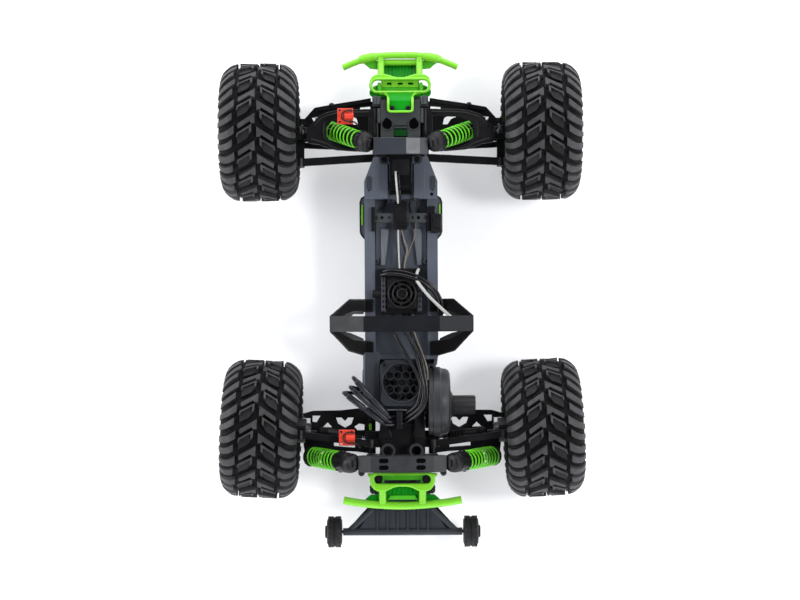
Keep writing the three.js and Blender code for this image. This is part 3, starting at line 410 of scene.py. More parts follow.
def piece(name, shapes, material, body="root", replaces=(), round_edges=0, sharp=38):
    """One mesh object from shapes in millimetres, riding on a CAD body."""
    verts, faces = [], []
    for points, polygons in shapes:
        start = len(verts)
        verts.extend(Vector(p) * MM for p in points)
        faces.extend(tuple(i + start for i in polygon) for polygon in polygons)
    mesh = bpy.data.meshes.new(name)
    mesh.from_pydata(verts, [], faces)
    mesh.validate()
    mesh.polygons.foreach_set("use_smooth", [True] * len(mesh.polygons))
    mesh.set_sharp_from_angle(angle=math.radians(sharp))
    mesh.materials.append(material)
    thing = bpy.data.objects.new(name, mesh)
    bpy.context.scene.collection.objects.link(thing)
    if round_edges:
        soften(thing, round_edges)
    if body:
        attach(thing, body)
    if replaces:
        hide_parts(*replaces)
    return thing


def soften(thing, width):
    """Rounds the edges that turn by more than 32 degrees."""
    bevel = thing.modifiers.new("edges", "BEVEL")
    bevel.width = width * MM
    bevel.segments = 2
    bevel.limit_method = "ANGLE"
    bevel.angle_limit = math.radians(32)
    bevel.harden_normals = True
    bevel.use_clamp_overlap = True


def finish_node(name, material, edge):
    """Gives a CAD node its material, joins its flat triangles and rounds its edges."""
    node = nodes[name]
    if not node.material_slots:
        node.data.materials.append(material)
    for entry in node.material_slots:
        entry.material = material
    flatten = node.modifiers.new("flat_faces", "DECIMATE")
    flatten.decimate_type = "DISSOLVE"
    flatten.angle_limit = math.radians(1)
    soften(node, edge)


def screw(x, y, z, radius, height):
    """Upright screw with a recess in its round head, its seat at the point."""
    key = radius * 0.48
    return turned([(-2, radius * 0.8), (0, radius * 0.96), (height * 0.45, radius),
                   (height * 0.85, radius * 0.8), (height, key * 1.15), (height, key),
                   (height - 1.1, key * 0.9)], (x, y, z), 18)


def ball(x, y, z, r, sides=14):
    profile = [(-r * math.cos(a * math.pi / 8), max(0.02, r * math.sin(a * math.pi / 8)))
               for a in range(9)]
    return moved(lathe(profile, sides), Matrix.Translation((x, y, z)))


def arc_points(cx, cy, r, start, stop, count):
    """Points of an arc about a centre, between two angles in degrees."""
    return [(cx + r * math.cos(math.radians(start + (stop - start) * k / count)),
             cy + r * math.sin(math.radians(start + (stop - start) * k / count)))
            for k in range(count + 1)]


def pill(x, y0, y1, r):
    """Outline of a plate with round ends at -x and +x, rear edge y0 and front edge y1."""
    return whole([*arc_points(x - r, y0 + r, r, 270, 360, 6), *arc_points(x - r, y1 - r, r, 0, 90, 6)])


def pill_at(x, y, half_x, half_y):
    """Outline of a slot with round ends, its length along Y."""
    top = arc_points(x, y + half_y - half_x, half_x, 0, 180, 8)
    return top + arc_points(x, y - half_y + half_x, half_x, 180, 360, 8)


# ---- tyres

TYRE_R = 67
LUG_COUNT = 16
PITCH = 2 * math.pi * TYRE_R / LUG_COUNT
CROWN = [(0, 67), (19, 66.9), (25, 65.6), (30, 62.9), (34, 58.6), (36.4, 54), (37.3, 49.5)]
GROOVE = 5.6
LUG_SLOPE = 0.65


def crown_radius(x):
    x = abs(x)
    for (x0, r0), (x1, r1) in zip(CROWN, CROWN[1:]):
        if x <= x1:
            return r0 + (r1 - r0) * (x - x0) / (x1 - x0)
    return CROWN[-1][1]


def on_tyre(x, run, depth):
    """Point on the tyre: x across it, run along its tread, depth below the tread's surface."""
    angle = run / TYRE_R
    steep = min(1, max(0, (abs(x) - 24) / 13))
    r = crown_radius(x) - depth * (1 - 0.55 * steep)
    inward = math.copysign(depth * 0.62 * steep, x)
    return Vector((x - inward, r * math.sin(angle), r * math.cos(angle)))


def prism(outline, draft=0.35, sunk=0):
    """Lug with the given outline of (x, run) points, wider at its foot, its top sunk a little."""
    cx = sum(p[0] for p in outline) / len(outline)
    cr = sum(p[1] for p in outline) / len(outline)
    top = [on_tyre(x, run, sunk) for x, run in outline]
    foot = [on_tyre(x + math.copysign(draft, x - cx), run + math.copysign(draft, run - cr),
                    GROOVE + 0.8) for x, run in outline]
    n = len(outline)
    area = sum(a[0] * b[1] - b[0] * a[1] for a, b in zip(outline, outline[1:] + outline[:1]))
    sides = [(k, (k + 1) % n, (k + 1) % n + n, k + n) for k in range(n)]
    faces = [tuple(range(n))[::-1], tuple(range(n, 2 * n)), *sides]
    if area < 0:
        faces = [tuple(reversed(f)) for f in faces]
    return top + foot, faces


def shoulder(sign, run, inner, width, shift):
    """Lug that runs over the tyre's shoulder and down its side."""
    stations = [x for x in (inner, 25, 28, 31, 34, 36, 37.2) if x >= inner]
    verts = []
    for x in stations:
        part = (x - stations[0]) / (stations[-1] - stations[0])
        middle = run - LUG_SLOPE * (x - inner) * (1 - 0.45 * part) - shift * part
        half = width / 2 * (1 - 0.12 * part)
        for depth, spread in ((0, 0), (GROOVE + 0.8, 0.4)):
            for end in (-1, 1):
                verts.append(on_tyre(sign * x, middle + end * (half + spread), depth))
    faces = []
    for i in range(len(stations) - 1):
        a, b = 4 * i, 4 * i + 4
        faces += [(a, a + 1, b + 1, b), (a + 1, a + 3, b + 3, b + 1), (a + 3, a + 2, b + 2, b + 3),
                  (a + 2, a, b, b + 2)]
    last = 4 * (len(stations) - 1)
    faces += [(0, 2, 3, 1), (last, last + 1, last + 3, last + 2)]
    if sign > 0:
        faces = [tuple(reversed(f)) for f in faces]
    return verts, faces


def edge_run(start, x):
    return start - LUG_SLOPE * (x - 1.2)


def tyre_shapes():
    """The carcass, then five lugs for each step round each half of the tread."""
    carcass = [(29, 38.1), (33.4, 40.5), (35.3, 43.5), (35.6, 44.2), (35.2, 45), (36.2, 47.6),
               (36.2, 49.6), (34.6, 53.4), (31.8, 56.8), (27.8, 59.6), (23, 61), (18, 61.4)]
    inside = [(17, 59.2), (25.6, 57.2), (30.6, 52.4), (32.4, 47), (30, 41.5), (25.5, 38.1)]
    outside = [*((-x, r) for x, r in carcass), *reversed(carcass)]
    within = [*reversed(inside), *((-x, r) for x, r in inside)]
    shapes = [lathe(outside + within, 72, closed=True)]
    for n in range(LUG_COUNT):
        for sign, offset in ((1, 0), (-1, PITCH * 0.5)):
            start = n * PITCH + offset

            def outline(points):
                return [(sign * x, edge_run(start + v, x)) for x, v in points]

            bar = outline([(1, 0), (16.4, 0), (17, -1.6), (16.2, -4.8), (5.4, -4.8), (4.6, -7),
                           (1, -9.6)])
            block_top = outline([(5.8, -10.4), (16.8, -10), (17.4, -14), (17.2, -19.4),
                                 (8.6, -19.8), (5.8, -17.4)])
            front_rib = outline([(4, -8.6), (17.6, -8.2), (18.2, -12), (16.8, -12), (16.4, -10.2),
                                 (6, -10.6), (5.9, -16.6), (4, -15.4)])
            shapes += [prism(bar), prism(block_top, 0.35, 2.2), prism(front_rib, 0.3)]
            shapes.append(shoulder(sign, start - 15.6, 20.4, 7.6, 2))
            shapes.append(shoulder(sign, start - 28.6, 22.4, 6.8, 2))
    return shapes


def drift(shapes, amount=0.12, seed=3):
    """Small uneven moves of each lug's corners, as on moulded rubber."""
    rng = random.Random(seed)
    out = [shapes[0]]
    for points, faces in shapes[1:]:
        out.append(([p + Vector([rng.uniform(-amount, 0) * c for c in p.normalized()])
                     for p in points], faces))
    return out


# the second lug of each step is the wide block, whose sunk top gets the painted shade
LUGS_PER_STEP = 5
BLOCK = 1

carcass, *lugs = drift(tyre_shapes())
blocks = lugs[BLOCK::LUGS_PER_STEP]
ribs = [lug for n, lug in enumerate(lugs) if n % LUGS_PER_STEP != BLOCK]
for name, end, sign in CORNERS:
    axle = wheel_axle(name)
    body = f"{name}_wheel"
    piece(f"{name}_tyre_blocks", placed(blocks, axle), RUBBER_RECESS_SHADE, body, round_edges=0.3)
    piece(f"{name}_tyre_tread", placed(ribs, axle), RUBBER, body, [f"{name}_tyre"],
          round_edges=0.35)
    piece(f"{name}_tyre_carcass", placed([carcass], axle), CARCASS_SHADE, body)

# ---- wheels

SPOKES = 5
STUB_END = {"front": -37, "rear": -30}


def rim_shapes():
    """Right wheel about X, its face towards +X."""
    barrel = lathe([(-32.6, 34.8), (-32.6, 39.8), (-32.2, 40.3), (-31, 40.3), (-30.5, 39.6),
                    (-30.5, 37.6), (-12, 36.4), (12, 36.4), (30.5, 37.6), (30.5, 39.6),
                    (31, 40.3), (32.2, 40.3), (32.6, 39.8), (32.6, 35.6), (26, 34.6), (10, 34),
                    (-26, 34)], 56, closed=True)
    hub = lathe([(-14, 8), (-12, 9.5), (4, 10.5), (12, 13.6), (13.4, 13), (14, 10), (14, 8.6),
                 (10.6, 8), (10.6, 5)], 28)
    spoke = [sweep([(7, 0, 8), (7.6, 0, 22), (9, 0, 35)], [3, 1.8, 3], 8, 3)]
    spoke += [sweep([(9, slant * 3.2, 11), (11.5, slant * 6.3, 23), (12, slant * 9.4, 35)],
                    [3.2, 2.6, 3.4], 8, 3, flat=0.8) for slant in (-1, 1)]
    return [barrel, hub, *around(spoke, SPOKES)]


def axle_shapes(end):
    """Wheel nut, axle tip and stub axle of a right wheel, with the drive cup of a rear one."""
    inner = STUB_END[end]
    shapes = [lathe([(10, 5.6), (14.6, 5.6), (15.2, 4.9), (15.6, 3.2)], 6),
              lathe([(14, 2.6), (18.2, 2.6), (18.9, 2)], 14),
              lathe([(inner, 2.7), (inner + 1, 2.9), (-8, 2.9)], 14)]
    if end == "rear":
        shapes.append(lathe([(-48, 6.4), (-48, 7.4), (-47.4, 7.8), (-36, 7.8), (-33, 7),
                             (-29, 6.4), (-28, 3), (-30, 2.9), (-31.4, 3), (-31.4, 6.4)], 24,
                            closed=True))
    return shapes


for name, end, sign in CORNERS:
    axle = wheel_axle(name)
    body = f"{name}_wheel"
    piece(f"{name}_rim", placed(on_side(sign, rim_shapes()), axle), RIM_GREEN, body, [body],
          sharp=30)
    piece(f"{name}_axle", placed(on_side(sign, axle_shapes(end)), axle), DARK_STEEL, body)

# ---- shock absorbers

SHOCKS = {
    "front": ((31, 149, 116), (78.5, 169.6, 58)),
    "rear": ((47, -155, 113), (91, -152, 57)),
}
COILS = 9.5
COIL_STEPS = 190
COIL_R = {"front": 8.4, "rear": 9.3}
WIRE_R = 0.8
BORE_R = 2.6
CAP_END = {"front": 10.2, "rear": 19}
CUP_GAP = {"front": 10, "rear": 4.6}
NOTCHES = 14


def shock_case(cap_end, case_end):
    """Eye, notched cap and bored case along X, from the upper bolt."""
    eye = turned([(-4, 2), (-4, 3.8), (-3.4, 4.4), (3.4, 4.4), (4, 3.8), (4, 2)], (0, 0, 0), 18,
                 FORE, closed=True)
    cap = lathe([(-2.6, BORE_R), (-2.4, 6), (-1.4, 8), (0.6, 9.1), (4.2, 9.6), (4.8, 9), (5.8, 9),
                 (6.4, 9.6), (cap_end - 1, 10), (cap_end - 0.2, 9.6), (cap_end, 7),
                 (cap_end, BORE_R)], 36, closed=True)
    case = lathe([(cap_end - 1, 7), (case_end - 1, 7), (case_end, 6.6), (case_end, BORE_R),
                  (cap_end - 1, BORE_R)], 28, closed=True)
    notch = block(cap_end - 3.4, cap_end - 0.6, -0.8, 0.8, 9.4, 10.5, 0.2)
    return [eye, cap, case, *around([notch], NOTCHES)]


def coil_spring(start, end, radius):
    """Coil along X that narrows a little towards both ends."""
    path = []
    for n in range(COIL_STEPS + 1):
        t = n / COIL_STEPS
        angle = 2 * math.pi * COILS * t
        r = radius * (1 - 0.05 * abs(2 * t - 1))
        path.append((start + (end - start) * (t + 0.02 * math.sin(2 * math.pi * t)),
                     r * math.cos(angle), r * math.sin(angle)))
    return sweep(path, WIRE_R, 8, 1, up=(1, 0, 0))


for name, end, sign in CORNERS:
    top, bottom = (Vector((sign * x, y, z)) for x, y, z in SHOCKS[end])
    length = (bottom - top).length
    seat = frame_at(top, bottom - top)
    case, shaft = f"{name}_shock_body", f"{name}_shock_shaft"
    cap_end = CAP_END[end]
    cup_x = length - CUP_GAP[end]
    piece(f"{name}_shock_case", placed(shock_case(cap_end, length - 27.8), seat), BLACK, case,
          [case], sharp=30)
    rod = lathe([(length - 45, 1.7), (length - 4, 1.7)], 16)
    piece(f"{name}_shock_rod", placed([rod], seat), STEEL, shaft, [shaft])
    cup = lathe([(cup_x, 4), (cup_x, 9.4), (cup_x + 0.6, 10), (cup_x + 1.6, 9.6),
                 (cup_x + 2.2, 6), (cup_x + 4, 3.6)], 28)
    foot = turned([(-3.5, 1.8), (-3.5, 3.6), (-3, 4.2), (3, 4.2), (3.5, 3.6), (3.5, 1.8)],
                  (length, 0, 0), 18, FORE, closed=True)
    piece(f"{name}_spring_cup", placed([cup, foot], seat), BLACK, shaft, sharp=30)
    start, stop = Vector((cap_end + 0.9, 0, 0)), Vector((cup_x - 1, 0, 0))
    coil = coil_spring(start.x, stop.x, COIL_R[end])
    spring = piece(f"{name}_spring", placed([coil], seat), SPRING, None)
    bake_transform(spring)

# ---- CAD nodes that stay

KEPT = {
    "chassis_tub": (TUB, 0.7), "belly_plate": (BLACK, 0.5), "battery_pack": (CARBON, 1),
    "front_bulkhead": (GREY, 0.7), "steering_servo": (HOOP_SHADE, 0.8), "servo_horn": (BLACK, 0.4),
    "steering_link": (BLACK, 0.4), "gearbox_case": (BLACK, 0.6), "differential": (BLACK, 0.2),
    "spur_gear": (BLACK, 0.15), "pinion_gear": (DARK_STEEL, 0.15), "motor": (CAN, 0.6),
    "rear_shock_tower": (GEAR_COVER, 0.7), "wheelie_bar": (TUB_DARK, 0.6),
    "motor_fan": (BLACK, 0.2), "esc_case": (BLACK, 0.4), "esc_fan": (BLACK, 0.2),
    "roll_hoop": (CARBON, 0.8),
}
LINKAGE = {"front": ("lower_arm", "carrier", "knuckle", "tie_rod"),
           "rear": ("lower_arm", "camber_link", "carrier")}
for corner, end, _ in CORNERS:
    KEPT |= {f"{corner}_{name}": (BLACK, 0.5) for name in LINKAGE[end]}
for name, (material, edge) in KEPT.items():
    finish_node(name, material, edge)

# ---- front bumper

front_bar = sweep(across([(0, 239.9, 52), (16, 239.6, 52), (30, 238.2, 51.4), (38, 236, 51)]), 3.4,
                  14)
knuckle = sweep([(22.4, 239, 51.6), (26, 238.4, 51.4), (36, 236.4, 51), (40, 234.6, 50.8)],
                [3.6, 4.5, 4.7, 3.5], 14)
stub = sweep([(38, 235.4, 51), (46, 232.4, 50.6), (56.2, 228.2, 50)], 3.15, 14)
upright = sweep([(18.8, 238, 51.6), (18.8, 231, 52.6), (18.8, 222, 57), (18.8, 216, 61)],
                [3.5, 3.3, 3.3, 3.5], 12)
crossbar = sweep(across([(14, 233.2, 49), (17, 233.2, 49)]), [3.8, 3.2, 3.2, 3.8], 12)
piece("front_bumper_bar", [front_bar, *both(knuckle, stub, upright), crossbar], GREEN,
      replaces=["front_bumper"])
lip = slab([(22, 235), (38, 234.4), (36.4, 232.6), (33.3, 230.4), (29.4, 227), (22, 226.5)], 47,
           50.4, edge=0.9)
piece("front_bumper_lips", both(lip), GREEN_HALF_SHADE)

crest = slab(whole([(27, 214.2), (29.8, 213), (28, 217.4), (24.5, 219.6), (20, 220.4),
                    (14.6, 220.3), (10.5, 219.3), (7, 218), (3.5, 217.4), (0, 217.2)]), 61, 64.4,
             edge=1.2)
ring = slab(pill(30.2, 201, 216.8, 7.4), 62.4, 67, edge=1.5, holes=[pill(27, 203.9, 213.7, 4.6)])
bridge = slab(whole([(18.6, 207.6), (18.6, 214.6)]), 58, 61.6, edge=0.6,
              holes=[[(x - 2.3, 209.8), (x + 2.3, 209.8), (x + 2.3, 212), (x - 2.3, 212)]
                     for x in (-10.8, 0, 10.2)])
piece("front_bumper_ring", [crest, ring, bridge], GREEN)
front_shelf = slab(whole([(26.6, 204.4), (26.6, 208.4), (21, 210.6)]), 57.4, 60.4, edge=0.8)
corner_rib = block(18.8, 22, 204, 212, 59, 64, 0.7)
piece("front_bumper_bridge", [front_shelf, *both(corner_rib)], GREEN_HALF_SHADE)
piece("front_bumper_lip", [slab(pill(30.2, 198.3, 208, 4.6), 55, 58.6, edge=1.2)], GREEN_DEEP_SHADE)
# near-black plate under the bridge's slots: painted shade seen through them
piece("front_bumper_slot_shade", [block(-15, 15, 209, 213.4, 56.6, 58.4, 0.3)], WELL_SHADE)
panel = [loft([[(-15.6, 232, front_z), (15.6, 232, front_z), (15.6, 214.6, rear_z),
                (-15.6, 214.6, rear_z)] for front_z, rear_z in ((43, 51), (45.4, 53.4))])]
panel += [sweep([(n * 3.4, 231.4, 46), (n * 3.4, 215.2, 53.4)], 0.8, 6, 1) for n in range(-4, 5)]
piece("front_bumper_panel", panel, GREEN_DEEP_SHADE)

# neck that reaches over the bulkhead: (half width, front y, front z, rear y, rear z)
neck = loft([[(-x, y0, z0), (x, y0, z0), (x, y1, z1), (-x, y1, z1)] for x, y0, z0, y1, z1 in (
    (12.4, 203, 61, 200.4, 60), (11.6, 195.4, 94, 192.8, 92.4), (11.6, 191, 97.4, 190, 95.4),
    (11.6, 180.2, 97.4, 180.2, 95.4))])
neck_rim = sweep([(20, 201.4, 64.6), (14.6, 200.6, 66), (11.9, 197.6, 76), (11.6, 194.6, 92),
                  (11.6, 190, 98.6), (11.5, 182.4, 99), (10.4, 180.8, 99), (8, 180.3, 99),
                  (0, 180.2, 99)], 1.2, 8)
piece("front_bumper_neck", [neck], GREEN_DEEP_SHADE, round_edges=0.4)
piece("front_bumper_neck_rim", both(neck_rim), GREEN)

# ---- rear bumper

rear_bar = sweep(across([(0, -200.8, 60), (14, -200.4, 60), (30, -199.2, 60), (45, -197.4, 60),
                         (57.6, -195.2, 60)]), 3.8, 16)
rear_upright = sweep([(19.6, -180, 66.4), (19.5, -186, 64.8), (19.5, -193, 62.4),
                      (19.4, -198, 61)], [4, 3.6, 3.6, 3.8], 12)
rear_ring = slab(whole([(28, -167.6), (31.9, -170), (31.9, -176), (30.5, -180.5), (27.5, -184.3),
                        (24.4, -185.8), (20, -186.3), (16, -185.9), (12, -184), (8.5, -182.2),
                        (5, -181.6), (2.5, -181.4)]), 66.4, 71, edge=1.5,
                 holes=[pill(27.4, -178.2, -170.2, 3.9)])
ear = slab([(29, -168.6), (33.6, -168.6), (34.2, -170.4), (32, -173), (29, -173)], 63, 66,
           edge=0.8)
piece("rear_bumper_bar", [rear_bar, *both(rear_upright), rear_ring, *both(ear)], GREEN,
      replaces=["rear_bumper"])
apron = slab(whole([(31, -189.9), (39, -196.8), (30, -199.4)]), 56.6, 59.2, edge=0.7,
             holes=[whole([(13.8, -196.8), (13.8, -195.1)])])
rear_panel = [slab(whole([(14, -179), (16, -190.4)]), 57.4, 60, edge=0.5), apron]
rear_panel += [sweep([(n * 4.4, -189.4, 60), (n * 4, -180, 60.2)], 1, 6, 1) for n in range(-2, 3)]
piece("rear_bumper_panel", rear_panel, GREEN_DEEP_SHADE)
rear_shelf = [block(-19.8, 19.8, -175.4, -169.4, 60, 65, 0.7),
              slab(whole([(12, -190.6), (15, -194.9)]), 59, 61.2, edge=0.6),
              *both(block(17.8, 20.2, -178, -169.4, 60, 66.4, 0.5))]
piece("rear_bumper_shelf", rear_shelf, GREEN_HALF_SHADE)
plug = turned([(-5, 4.2), (1.6, 4.2), (2.8, 3.2)], (23.4, -174.2, 66), 18)
knobs = both(plug, ball(28.4, -185.6, 60, 3.7), ball(29.6, -182.6, 60, 2.6),
             ball(39.2, -165.4, 99, 3.1))
knobs += [block(x - 3, x + 3, -178, -175.8, 60.4, 61.4, 0.3) for x in (-10, 0, 10)]
piece("rear_bumper_plugs", knobs, BLACK)

# ---- drive shafts and wheelie wheels

SHAFT_LENGTH = 65.5
BOOT_LOW = 5
BOOT_HIGH = 6.2


def boot(start, folds, pitch, crest_start, crest_end, width):
    """Profile of a rubber boot's folds, from start along X."""
    fold = ((0, BOOT_LOW), (crest_start, BOOT_HIGH), (crest_end, BOOT_HIGH), (width, BOOT_LOW))
    return [(start + n * pitch + x, r) for n in range(folds) for x, r in fold]


shaft_profile = [(8.4, 1.9), (14, 1.9), (15.2, 5.2), *boot(15.4, 5, 2.8, 0.9, 1.8, 2.6),
                 (29.4, 5.5), (SHAFT_LENGTH - 24, 5.5),
                 *boot(SHAFT_LENGTH - 23.6, 3, 2.5, 0.8, 1.5, 2.3),
                 (SHAFT_LENGTH - 15.2, 4.6), (SHAFT_LENGTH - 13.4, 1.9), (SHAFT_LENGTH - 3, 1.9)]
for side, sign in SIDES:
    joint = f"rear_{side}_driveshaft_spin"
    body = f"rear_{side}_driveshaft"
    seat = frame_at(joint_place(joint), Vector(joints[joint]["axis"]) * sign)
    piece(f"rear_{side}_shaft", placed([lathe(shaft_profile, 28)], seat), BLACK, body, [body],
          sharp=30)
    ends = [ball(0, 0, 0, 4.3, 18), ball(SHAFT_LENGTH, 0, 0, 4.3, 18),
            lathe([(-1, 1.9), (10, 1.9)], 14)]
    piece(f"rear_{side}_shaft_ends", placed(ends, seat), STEEL, body)

NUBS = 18
to_axle = Matrix.Translation(joint_place("wheelie_spin"))
small_tyre = lathe([(59.8, 7), (59.8, 11.6), (60.4, 12.6), (61.6, 14.4), (63.2, 15.2),
                    (65.4, 15.4), (66.2, 15.2), (66.6, 14.5), (67.6, 14.5), (68, 15.2),
                    (68.8, 15.4), (71, 15.2), (72.8, 14.4), (74, 12.6), (74.6, 11.4),
                    (74.6, 7)], 40)
nubs = [block(x, x + 4.2, -1, 1, 14.3, 15.35, 0.25) for x in (60.8, 69.2)]
piece("wheelie_tyres", placed(both(small_tyre, *around(nubs, NUBS)), to_axle), WHEELIE,
      "wheelie_wheels", ["wheelie_wheels"], sharp=30)
hub_cap = lathe([(74, 6.4), (76, 6.2), (76.6, 5.4), (76.6, 2.4), (75.6, 2.2)], 22)
axle_rod = lathe([(-61, 1.6), (61, 1.6)], 12)
piece("wheelie_hubs", placed([*both(hub_cap), axle_rod], to_axle), CARBON, "wheelie_wheels",
      sharp=30)

# ---- screws, pins and small parts

screws = both(screw(7.7, 183.4, 98.2, 2.6, 1.5), screw(16.6, 134.6, 92.2, 3, 1.8),
              screw(24.5, 79, 91.6, 2.5, 1.4), screw(18.4, -121.6, 87.2, 2.7, 1.6))
screws += [screw(-16.5, -61.6, 107.2, 2.2, 1.5), screw(15.6, -95.6, 107.2, 2.2, 1.5)]
piece("deck_screws", screws, SCREW, sharp=30)
bosses = both(turned([(-3, 4.6), (0, 4.6), (0.8, 4), (0.8, 2.6)], (16.6, 134.6, 91.8), 24),
              turned([(-6, 3.1), (0, 2.9), (0.4, 2.5), (0.4, 1.5), (-3, 1.4)],
                     (24.4, 36.8, 84.6), 20))
bosses.append(turned([(-4, 3.6), (-0.4, 3.6), (0, 3.2), (0, 1.7), (-2, 1.6)],
                     (30.5, 103.4, 88.4), 22))
piece("tub_bosses", bosses, TUB_DARK, sharp=30)

# tops of the bulkhead and of the shock towers
teardrop = [(12.6 + x * 1.02, 168.4 + y)
            for x, y in [*arc_points(0, 0, 4.4, 205, 335, 10), (2.6, 5), (0.6, 7)]]
tower_slots = [slab([(17.6 + x, y0 + y) for x, y in pill(4.5, -2.15, 2.15, 2.1)], 119.2, 120.2,
                    edge=0.15) for y0 in (-152.2, -158.6)]
# near-black plates in the bulkhead's openings and in the rear tower's slots: painted shade
wells = both(slab(teardrop, 94.4, 95.5, edge=0.2),
             turned([(94.8, 4.6), (95.6, 4.4)], (12.9, 168.6, 0), 26), *tower_slots)
wells += [block(-6.6, 6.6, 166.6, 167.3, 94.6, 95.4, 0.15),
          block(-6.6, 6.6, 155.4, 164.6, 94.3, 95.1, 0.2)]
piece("well_shades", wells, WELL_SHADE)
# dark pill plates on the nose's slots: painted shade in their recesses
piece("nose_slot_shade", both(slab(pill_at(30.4, 112.4, 2.7, 7), 91.4, 92.15, edge=0.2)), TUB_DARK)
# thin sheet of the shaded green on the bulkhead top: painted shade
piece("bulkhead_green_shade", [block(-6, 6, 157, 163.4, 95, 95.6, 0.2)], GREEN_SHADE)
collar = sweep([(x, y, 95.2) for x, y in arc_points(12.7, 168.6, 5.6, 150, 390, 18)], 0.7, 6, 1)
pin = turned([(-7, 1.6), (7, 1.6)], (20.6, 177, 93.6), 14, FORE)
hinge_ear = turned([(-4.2, 3.4), (-3.6, 4), (3.6, 4), (4.2, 3.4)], (22.4, 191.4, 92), 18, FORE)
piece("bulkhead_trim", both(collar, pin, hinge_ear), GREY, sharp=30)

tower = wall(whole([(25.2, 116), (25.2, 110), (21, 104), (14, 95.6), (9, 95.6), (9, 112)]), 141.4,
             153.2, edge=0.5)
facets = [(-25.6, 112), (25.6, 112), (25.6, 116), (18.3, 120), (5.3, 124), (-4.8, 124.6),
          (-17.8, 123.8), (-25.6, 122.8)]
brow = loft([[(x, y, z - drop) for x, z in facets]
             for y, drop in ((138, 0.7), (138.4, 0), (153.2, 0), (153.6, 0.7))])
piece("front_tower_cap", [tower, brow], TOWER, replaces=["front_shock_tower"], sharp=10)

# ---- front upper arms

arm_edge = [(24, 184), (58.6, 182.8), (68, 181.4), (78, 177.6), (86.5, 168.6), (92, 166.4),
            (92, 160.6), (89, 151.2), (78, 149.6), (72, 147.2), (62, 144.4), (44, 143),
            (28.5, 143.8), (28.5, 146.8), (24, 146.8)]
arm_hole = [(31, 177), (56, 176), (66, 172.5), (71, 166), (71, 158), (66, 151), (57, 146.8),
            (31, 146.4)]
rib_lines = [[(30, 180.6), (57, 180), (68, 178), (76.6, 174.4), (83.6, 167.4)],
             [(86, 155), (77, 152.6), (70, 150), (62, 145.9), (44, 144.7), (31, 145.2)],
             [(73, 172), (74.6, 164), (73.4, 156)]]
arm = [slab(arm_edge, 86.4, 90.6, holes=[arm_hole], edge=0.5),
       turned([(-19, 3), (-18.6, 3.8), (18.6, 3.8), (19, 3)], (23, 165.6, 88), 20, FORE),
       turned([(-3.5, 3.4), (-3.1, 4), (3.1, 4), (3.5, 3.4)], (97, 163.5, 92), 20, FORE),
       block(90, 97, 160.8, 166.2, 88.4, 94, 0.6)]
arm += [sweep([(x, y, 90.4) for x, y in line], 1.1, 8, 3) for line in rib_lines]
for side, sign in SIDES:
    body = f"front_{side}_upper_arm"
    piece(f"front_{side}_wishbone", on_side(sign, arm), BLACK, body, [body], sharp=30)
for side, sign in SIDES:
    piece(f"front_{side}_arm_screw", [ball(sign * 67.3, 191, 52.6, 2.7)], BLACK,
          f"front_{side}_lower_arm")
    studs = [ball(sign * 94, 161.6, 94.4, 2.4), ball(sign * 94.6, 167.4, 93, 1.6)]
    piece(f"front_{side}_ball_stud", studs, DARK_STEEL, f"front_{side}_upper_arm")

# ---- gearbox and spur gear cover

plates = both(slab([(9.2, -133.2), (11, -127), (13.6, -120.4), (16, -116.2), (19, -115.6),
                    (21, -118), (22.6, -133.2)], 87.2, 90.6, edge=0.7))
plates += [block(-5.4, 0.2, -123, -106.4, 101, 106, 0.8),
           block(-5.4, 0.2, -108.2, -106.4, 88, 102), block(-5.4, 0.2, -123, -121.2, 88, 102)]
piece("gearbox_plates", plates, CARBON)
piece("gearbox_green_tab", [block(-32.4, -29.8, -127, -121, 51, 54)], GREEN)

COVER_Y, COVER_Z = -98.4, 80
NOSE_PLACE = (0, -101.75, 77.4)
COVER_STATIONS = ((25.4, 0.95), (25.9, 0.97), (29.8, 0.975), (30.2, 1), (36.6, 1), (37.2, 0.985),
                  (37.8, 0.965), (42.4, 0.945), (44.8, 0.9), (46, 0.82), (46.4, 0.7))
cover_rim = [*arc_points(0, 0, 33.6, -6, 186, 26), (-27.4, -5.4), (-24, -19), (20, -21)]
cover = loft([[(x, COVER_Y + y * scale, COVER_Z + z * scale) for y, z in cover_rim]
              for x, scale in COVER_STATIONS])
# the nose and its collar take the darker cover nylon, as painted shade
nose = lathe([(44, 9.3), (69.4, 9.3), (70.6, 8.8), (71, 7.8)], 32)
nose_collar = lathe([(45.6, 14), (47.4, 13.4), (48.6, 11), (49.2, 9.4)], 32)
piece("spur_cover_nose", placed([nose_collar, nose], Matrix.Translation(NOSE_PLACE)), COVER_SHADE,
      sharp=26)
piece("spur_gear_cover", [cover], GEAR_COVER, replaces=["gear_cover"], round_edges=0.4, sharp=26)
fillers = [block(22.6, 29.6, -125.6, -103, 48, 53, 0.5),
           block(-29.6, -22.6, -119, -103, 48, 53, 0.5)]
piece("gearbox_fillers", fillers, BLACK)

# ---- radio tray, tub and hoop details

